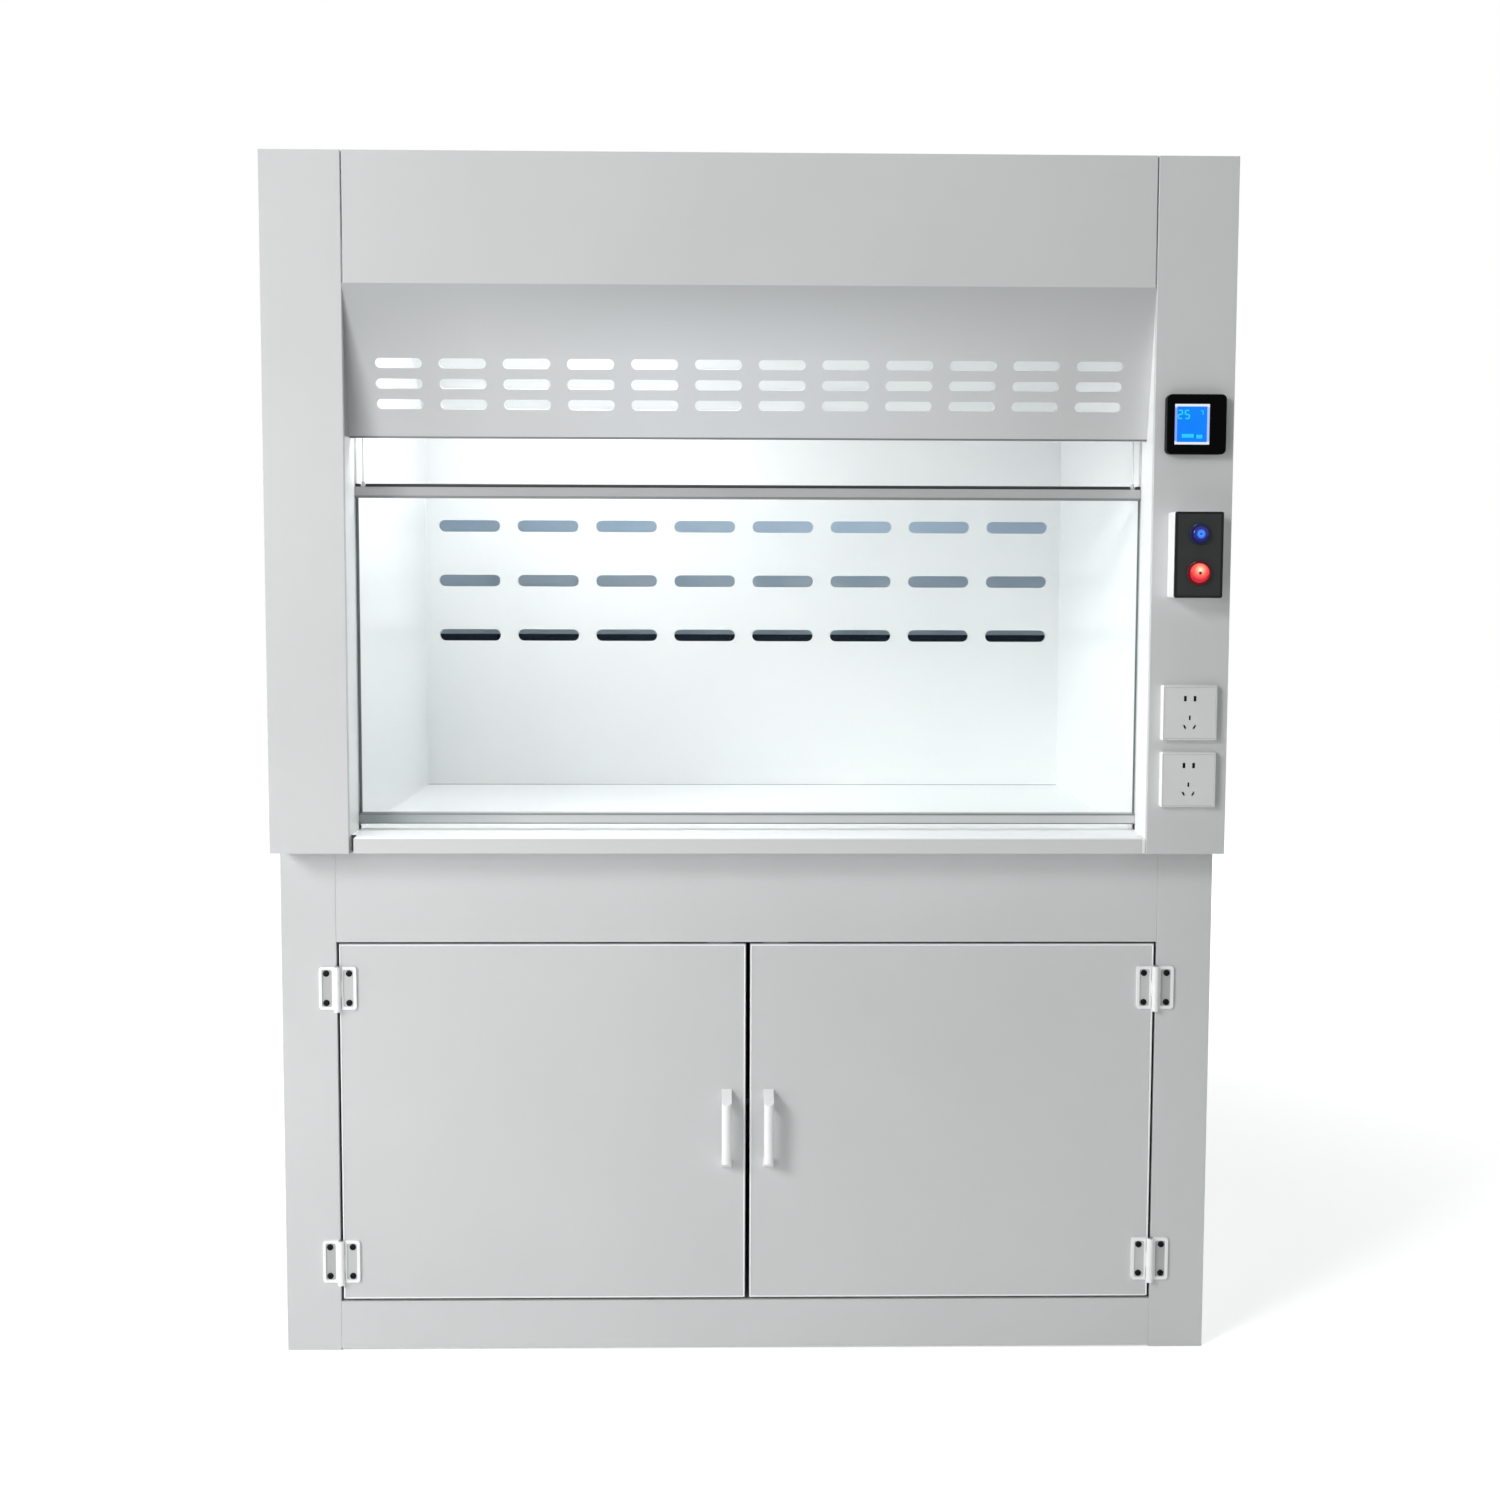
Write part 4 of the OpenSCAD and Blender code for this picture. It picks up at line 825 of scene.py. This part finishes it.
# %% Door edge highlights
# Painted highlight: the rim is white, paler than the door's own grey sheet.
highlight_edge = plastic("PaintedHighlightEdge", "#f6f7f7", 0.16, pp_ior, ("#f1f2f2", "#fafbfb", 0.05, 0.12, 0.2))
rim_r = 0.0018
for name in ("left", "right"):
    low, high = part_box(f"door_{name}")
    x0, x1, z0, z1 = low[0] + rim_r, high[0] - rim_r, low[2] + rim_r, high[2] - rim_r
    y = low[1] + 0.3 * rim_r
    outline = [[(x0, y, z0), (x0, y, z1), (x1, y, z1), (x1, y, z0), (x0, y, z0)]]
    weld(f"door_rim_{name}", outline, rim_r, 0.003, -0.2, highlight_edge, f"{name}_door")

# %% [markdown]
# ## Sash seals
# A dark rubber strip lies on the top rail, cut away around the two cable ends. Each rail
# has a thin lip where it holds the glass, and the bottom rail has a narrow bumper under its
# front edge. Up each side of the glass runs a gasket that wipes along the track. All of it
# moves with the sash. The strips are bars with rounded edges, because that is how they are
# extruded. A dark strip under the header, painted shade for the shadow under its edge, and
# a white bead in the sill's right notch, a painted highlight for the lit jamb there, are
# made the same way, and stay with the hood.

# %% Strip finishes
glazing_rubber = plastic("GlazingRubber", "#6e7375", 0.6, 1.52, ("#676c6e", "#767b7d", 0.02, 0.5, 0.7),
                         (0.0015, 0.00003))
lip_plastic = plastic("RailLip", "#898c8c", 0.5, 1.52, ("#828585", "#909393", 0.02, 0.42, 0.6),
                      drawn_grain)
header_shade_strip = plastic("HeaderShadeStrip", "#7c7f7f", 0.45, 1.52, ("#767979", "#838686", 0.08, 0.38, 0.52),
                    drawn_grain)
print("strip finishes", glazing_rubber.name, lip_plastic.name, header_shade_strip.name)

# %% Strips on the sash
top_low, top_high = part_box("sash_top_rail")
foot_low, foot_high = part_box("sash_bottom_rail")
sash_y = (top_low[1] + top_high[1]) / 2
rail_top, glass_high = top_high[2], top_low[2]
glass_low, rail_low = foot_high[2], foot_low[2]
glass_front, glass_back = sash_y - 0.003, sash_y + 0.003
cable_x, strip_x, cable_gap = 0.614, 0.6255, 0.0045
seal_half, seal_low, seal_high = 0.006, rail_top - 0.0004, rail_top + 0.005
seal_ends = ((-cable_x + cable_gap, cable_x - cable_gap),
             (-strip_x, -cable_x - cable_gap), (cable_x + cable_gap, strip_x))
seal_parts = [((x0, sash_y - seal_half, seal_low), (x1, sash_y + seal_half, seal_high))
              for x0, x1 in seal_ends]
piece("sash_seals", bars(seal_parts, 0.0008), finishes["rubber"], "sash")

lip_parts = []
for y in (top_low[1], top_high[1]):
    y0, y1 = y - 0.0004, y + 0.0004
    lip_parts += [((-strip_x, y0, glass_high - 0.0003), (strip_x, y1, glass_high + 0.0032)),
                  ((-strip_x, y0, glass_low - 0.0029), (strip_x, y1, glass_low + 0.0003))]
piece("rail_lips", bars(lip_parts, 0.0003), lip_plastic, "sash")
bumper = [((-strip_x, foot_low[1] - 0.0005, rail_low - 0.0006),
           (strip_x, foot_low[1] + 0.005, rail_low + 0.0014))]
piece("sash_bumper", bars(bumper, 0.0005), lip_plastic, "sash")

gasket_parts = []
for y0, y1 in ((glass_front - 0.0014, glass_front), (glass_back, glass_back + 0.0014)):
    gasket_parts += [((-strip_x, y0, glass_low), (-strip_x + 0.0034, y1, glass_high)),
                     ((strip_x - 0.0018, y0, glass_low), (strip_x, y1, glass_high))]
piece("glazing_gasket", bars(gasket_parts, 0.0004), glazing_rubber, "sash")

# %% Header shade strip and sill highlight bead
inlet_depth, sheet_t = 0.045, 0.008
header_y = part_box("jambs")[0][1] + inlet_depth - sheet_t
# Painted shade: a dark strip stands for the shadow under the header's edge.
header_shade_bars = [((-strip_x, header_y - 0.0009, header_z - 0.0002), (strip_x, header_y + 0.0006, header_z + 0.0026))]
piece("header_trim", bars(header_shade_bars, 0.0004), header_shade_strip, "hood")
# Painted highlight: a white bead in the right notch stands for the lit jamb there.
notch_highlight_bead = [((0.6193, front_y + 0.0008, 0.8305), (0.6257, front_y + 0.018, sill_top - nose))]
piece("sill_end_bead", bars(notch_highlight_bead, 0.0012), finishes["chamber_lining"], "hood")

# %% [markdown]
# ## Sash cables
# Each side has a steel wire rope of 2 mm, from the sash up over the pulley and down to
# its counterweight. The straight runs change length as the sash moves; each is a plain
# prism with no body of its own. The half turn over the pulley stays with the hood.
# The strands are drawn by a diagonal wave on the rope's own UV map, which also paints the
# grooves between them darker and their crowns paler, as painted shade and highlight.

# %% Wire rope finish
made, tree, shader = material("WireRope", "#c6c9ca", 0.38, Metallic=1.0)
place = add(tree, "ShaderNodeTexCoord")
strand = add(tree, "ShaderNodeTexWave", bands_direction="DIAGONAL",
             inputs={"Vector": place.outputs["UV"], "Scale": 1.0, "Distortion": 0.3})
# Painted shade and highlight: grooves darker, crowns paler.
shade = add(tree, "ShaderNodeMix", data_type="RGBA",
            inputs={0: strand.outputs["Fac"], 6: colour("#a4a8aa"), 7: colour("#e6e8e8")})
relief = add(tree, "ShaderNodeBump",
             {"Height": strand.outputs["Fac"], "Strength": 0.8, "Distance": 0.0002})
tree.links.new(shade.outputs[2], shader.inputs["Base Color"])
tree.links.new(relief.outputs[0], shader.inputs["Normal"])
wire_rope = made

# %% Rope runs
rope_r, rope_sides = 0.001, 12
lay_length = 0.004


def rope(points):
    """A closed tube along points in one upright plane, with a UV map along and around it."""
    made = bmesh.new()
    uv = made.loops.layers.uv.new("UVMap")
    rings, along = [], [0.0]
    for i, p in enumerate(points):
        before, after = points[max(i - 1, 0)], points[min(i + 1, len(points) - 1)]
        if i:
            along.append(along[-1] + (p - points[i - 1]).length)
        way = (after - before).normalized()
        side = Vector((0, 1, 0))
        other = way.cross(side)
        round_it = [2 * math.pi * k / rope_sides for k in range(rope_sides)]
        rings.append([made.verts.new(p + rope_r * (math.cos(a) * side + math.sin(a) * other))
                      for a in round_it])
    for i in range(len(rings) - 1):
        for k in range(rope_sides):
            n = (k + 1) % rope_sides
            face = made.faces.new((rings[i][k], rings[i][n], rings[i + 1][n], rings[i + 1][k]))
            for loop, (u, v) in zip(face.loops, ((k, i), (k + 1, i), (k + 1, i + 1), (k, i + 1))):
                loop[uv].uv = (u / rope_sides, along[v] / lay_length)
    made.faces.new(rings[0])
    made.faces.new(rings[-1])
    return finished(made, "rope")


# %% Ropes and the pulley turns
pulley_z, pulley_r = 1.864, 0.030
weight_x, weight_top = 0.674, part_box("counterweight_left")[1][2]
for side, name in ((-1, "left"), (1, "right")):
    sash_top = Vector((side * cable_x, sash_y, rail_top + 0.001))
    sash_turn = Vector((side * cable_x, sash_y, pulley_z))
    run = piece(f"sash_cable_{name}", rope([sash_turn, sash_top]), wire_rope)
    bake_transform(run)
    weight_turn = Vector((side * weight_x, sash_y, pulley_z))
    weight_end = Vector((side * weight_x, sash_y, weight_top + 0.001))
    drop = piece(f"weight_cable_{name}", rope([weight_turn, weight_end]), wire_rope)
    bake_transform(drop)
    centre = Vector((side * (cable_x + pulley_r), sash_y, pulley_z))
    arc = [centre + pulley_r * Vector((-side * math.cos(a), 0, math.sin(a)))
           for a in (math.pi * i / 24 for i in range(25))]
    wrap = piece(f"cable_turn_{name}", rope(arc), wire_rope, "hood")
    if side < 0:
        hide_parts("sash_cables")
        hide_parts("weight_cables")

# %% [markdown]
# ## Cable ends
# The rope ends in a pressed ferrule on a small eye. The tree sets one turned fitting on
# each end point, so that the sash and the counterweights get the same part.

# %% Cable fittings


def turned_mesh(profile, steps=24):
    """A closed shape turned around Z from (radius, height) pairs."""
    made = bmesh.new()
    around = [2 * math.pi * k / steps for k in range(steps)]
    rings = [[made.verts.new((r * math.cos(a), r * math.sin(a), z)) for a in around]
             for r, z in profile]
    for low, high in zip(rings, rings[1:]):
        for k in range(steps):
            n = (k + 1) % steps
            made.faces.new((low[k], low[n], high[n], high[k]))
    made.faces.new(rings[0])
    made.faces.new(rings[-1])
    return finished(made, "turned")


ferrule = turned_mesh(
    [(0.0042, 0.0), (0.0042, 0.002), (0.0025, 0.0026), (0.0025, 0.008), (0.0018, 0.0088)])
for name, body, places in (
    ("sash_ferrules", "sash", [(-cable_x, sash_y, rail_top), (cable_x, sash_y, rail_top)]),
    ("weight_ferrule_left", "weight_left", [(-weight_x, sash_y, weight_top)]),
    ("weight_ferrule_right", "weight_right", [(weight_x, sash_y, weight_top)]),
):
    set_copies(name, ferrule, finishes["steel"], body, places)

# %% [markdown]
# ## Display
# The controller shows its readings as pale segments on a blue backlight, inside a bright
# frame. Only plain figures and bars are drawn. Each segment is a small bevelled bar that
# stands just proud of the display, and the tree sets one on each point, lying or standing
# as its angle says.

# %% Display finishes
low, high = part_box("controller_screen")
screen_x0, screen_x1, screen_z0, screen_z1 = low[0], high[0], low[2], high[2]
screen_front, border_w = low[1], 0.0037
lit_segments = plastic("LitSegments", "#07384a", 0.3, plain_ior,
                       ("#05303f", "#0a4054", 0.006, 0.25, 0.35), Emission_Strength=1.0)
lit_shader = lit_segments.node_tree.nodes["Principled BSDF"]
lit_shader.inputs["Emission Color"].default_value = colour("#08ccf4")

made, tree, shader = material("DisplayBorder", "#20242c", 0.3, Emission_Strength=0.9)
place = drift(tree, shader, "#1c2028", "#242a34", 0.01, 0.25, 0.35)
spot = add(tree, "ShaderNodeSeparateXYZ", {0: place.outputs["Object"]})
right_part = add(tree, "ShaderNodeMapRange", {
    "Value": spot.outputs["X"], "From Min": screen_x0, "From Max": screen_x1})
sides = add(tree, "ShaderNodeMix", data_type="RGBA",
            inputs={0: right_part.outputs[0], 6: colour("#86a4ff"), 7: colour("#b6caff")})
off_middle = add(tree, "ShaderNodeMath", operation="SUBTRACT",
                 inputs={0: spot.outputs["Z"], 1: (screen_z0 + screen_z1) / 2})
far_off = add(tree, "ShaderNodeMath", {0: off_middle.outputs[0]}, operation="ABSOLUTE")
ends = add(tree, "ShaderNodeMapRange", {
    "Value": far_off.outputs[0], "From Min": (screen_z1 - screen_z0) / 2 - 1.6 * border_w,
    "From Max": (screen_z1 - screen_z0) / 2 - border_w})
frame_glow = add(tree, "ShaderNodeMix", data_type="RGBA",
                 inputs={0: ends.outputs[0], 6: sides.outputs[2], 7: colour("#eef4ff")})
tree.links.new(frame_glow.outputs[2], shader.inputs["Emission Color"])
display_border = made
print("display", round(screen_x1 - screen_x0, 4), "by", round(screen_z1 - screen_z0, 4))

# %% Figures
segment_y = screen_front - 0.0001
SHAPES = {"2": "abdeg", "5": "acdfg", "7": "abc"}
MARKS = {"a": (0.5, 0, 0), "g": (0.5, 0.5, 0), "d": (0.5, 1, 0), "f": (0, 0.25, 1),
         "b": (1, 0.25, 1), "e": (0, 0.75, 1), "c": (1, 0.75, 1)}


def figures(name, text, left, top, wide, tall, pitch, thick):
    """Seven-segment figures, from their top left corner in metres inside the display."""
    places, turns = [], []
    for i, figure in enumerate(text):
        for mark in SHAPES[figure]:
            u, v, standing = MARKS[mark]
            places.append((screen_x0 + left + i * pitch + u * wide, segment_y, screen_z1 - top - v * tall))
            turns.append((0, standing * math.pi / 2, 0))
    run = 0.45 * wide
    shape = bars([((-run, -0.0002, -thick / 2), (run, 0.0002, thick / 2))], 0.0001)
    set_copies(name, shape, lit_segments, "hood", places, turns)


figures("display_figures", "25", 0.0054, 0.0098, 0.0062, 0.0124, 0.0108, 0.0021)
figures("display_unit", "7", 0.0402, 0.0103, 0.0036, 0.0062, 0.005, 0.0014)
cell = bars([((-0.00135, -0.0002, -0.0029), (0.00135, 0.0002, 0.0029))], 0.0001)
cell_pitch = 0.0031
cells = [(screen_x0 + 0.0128 + cell_pitch * i, segment_y, screen_z1 - 0.0487) for i in range(6)]
cells += [(screen_x0 + 0.0354 + cell_pitch * i, segment_y, screen_z1 - 0.0499) for i in range(3)]
set_copies("display_bars", cell, lit_segments, "hood", cells)

# %% Display frame
y0, y1 = screen_front - 0.0003, screen_front + 0.0002
x_in0, x_in1 = screen_x0 + border_w, screen_x1 - border_w
border = [((screen_x0, y0, screen_z0), (screen_x1, y1, screen_z0 + border_w)),
          ((screen_x0, y0, screen_z1 - border_w), (screen_x1, y1, screen_z1)),
          ((screen_x0, y0, screen_z0 + border_w), (x_in0, y1, screen_z1 - border_w)),
          ((x_in1, y0, screen_z0 + border_w), (screen_x1, y1, screen_z1 - border_w))]
piece("display_frame", bars(border, 0.0001), display_border, "hood")

# %% [markdown]
# ## Socket contacts
# Just inside each slot of a socket lies a moulded shutter, each turned as its slot. Its
# black is painted shade for the depth of the slot, so that the slots read as dark marks.

# %% Socket shutters
low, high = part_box("socket_plates")
socket_x = (low[0] + high[0]) / 2
half = (high[0] - low[0]) / 2
socket_levels = (low[2] + half, high[2] - half)
shutter_y = low[1] + 0.0006
# Painted shade: the shutters are black for the dark depth of each slot.
slot_shade_plastic = plastic("SlotShadePlastic", "#0c0c0c", 0.5, 1.5, ("#080808", "#121212", 0.01, 0.45, 0.55),
                          (0.0008, 0.00001), Specular_IOR_Level=0.15)
shutter_depth = 0.0016
blades = [(-0.0076, 0.0225, 0), (0.0076, 0.0225, 0)]
pins = [(0, -0.0076, 0), (-0.0076, -0.022, 30), (0.0076, -0.022, -30)]
for name, wide, tall, marks in (("blade", 0.0044, 0.0084, blades), ("pin", 0.0029, 0.0069, pins)):
    shape = bars([((-wide / 2, 0, -tall / 2), (wide / 2, shutter_depth, tall / 2))], 0.0003)
    places = [(socket_x + x, shutter_y, z + dz) for z in socket_levels for x, dz, _ in marks]
    turns = [(0, math.radians(a), 0) for _ in socket_levels for _, _, a in marks]
    set_copies(f"{name}_shutters", shape, slot_shade_plastic, "hood", places, turns)

# %% [markdown]
# ## Catch strikes
# Each door carries a thin steel strike where it meets its magnet, bonded to the back of the
# door. It is thinner than the gap that the closed door leaves there.

# %% Catch strikes
door_back, strike_z = -0.327, 0.657
strike_half, strike_t = 0.009, 0.0002
for side, name in ((-1, "left"), (1, "right")):
    low, high = sorted((side * 0.027, side * 0.063))
    plate = ((low, door_back, strike_z - strike_half), (high, door_back + strike_t, strike_z + strike_half))
    piece(f"strike_{name}", bars([plate], 0.00008), finishes["steel"], f"{name}_door")

# %% [markdown]
# ## Exhaust damper strip
# The lowest row of exhaust slots looks nearly black in its lower part, so something dark
# stands close behind it. This is a guess at the strip that throttles the lowest slots.

# %% Damper strip
back_of_baffle, damper_t, damper_x = 0.329, 0.004, 0.61
damper = [((-damper_x, back_of_baffle, 1.114), (damper_x, back_of_baffle + damper_t, 1.1475))]
piece("damper_strip", bars(damper, 0.0006), dark_strip, "hood")

# %% [markdown]
# ## Chamber light
# The lamp over the diffuser lights the chamber nearly white, as in the photograph. A soft
# box just under the diffuser does what its glow would do, with far less noise. It stands a
# little forward, so that the back panel is lit more evenly, and to the left, because the
# window already lights the right side. A cold, weak lamp high in the plenum stands for the
# daylight that falls down the open duct, and makes the exhaust slots blue-grey.

# %% Chamber and duct light
low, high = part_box("lamp_diffuser")
lamp_y, under_diffuser, duct_y = (low[1] + high[1]) / 2 - 0.08, 1.797, 0.386
soft_box("chamber_lamp", (-0.26, lamp_y, under_diffuser), (-0.28, lamp_y, 0.9), 0.40, 0.10, 3.8)
soft_box("duct_daylight", (0, duct_y, 1.62), (0, duct_y, 0.9), 1.1, 0.09, 2.3, "#b9d4ee")
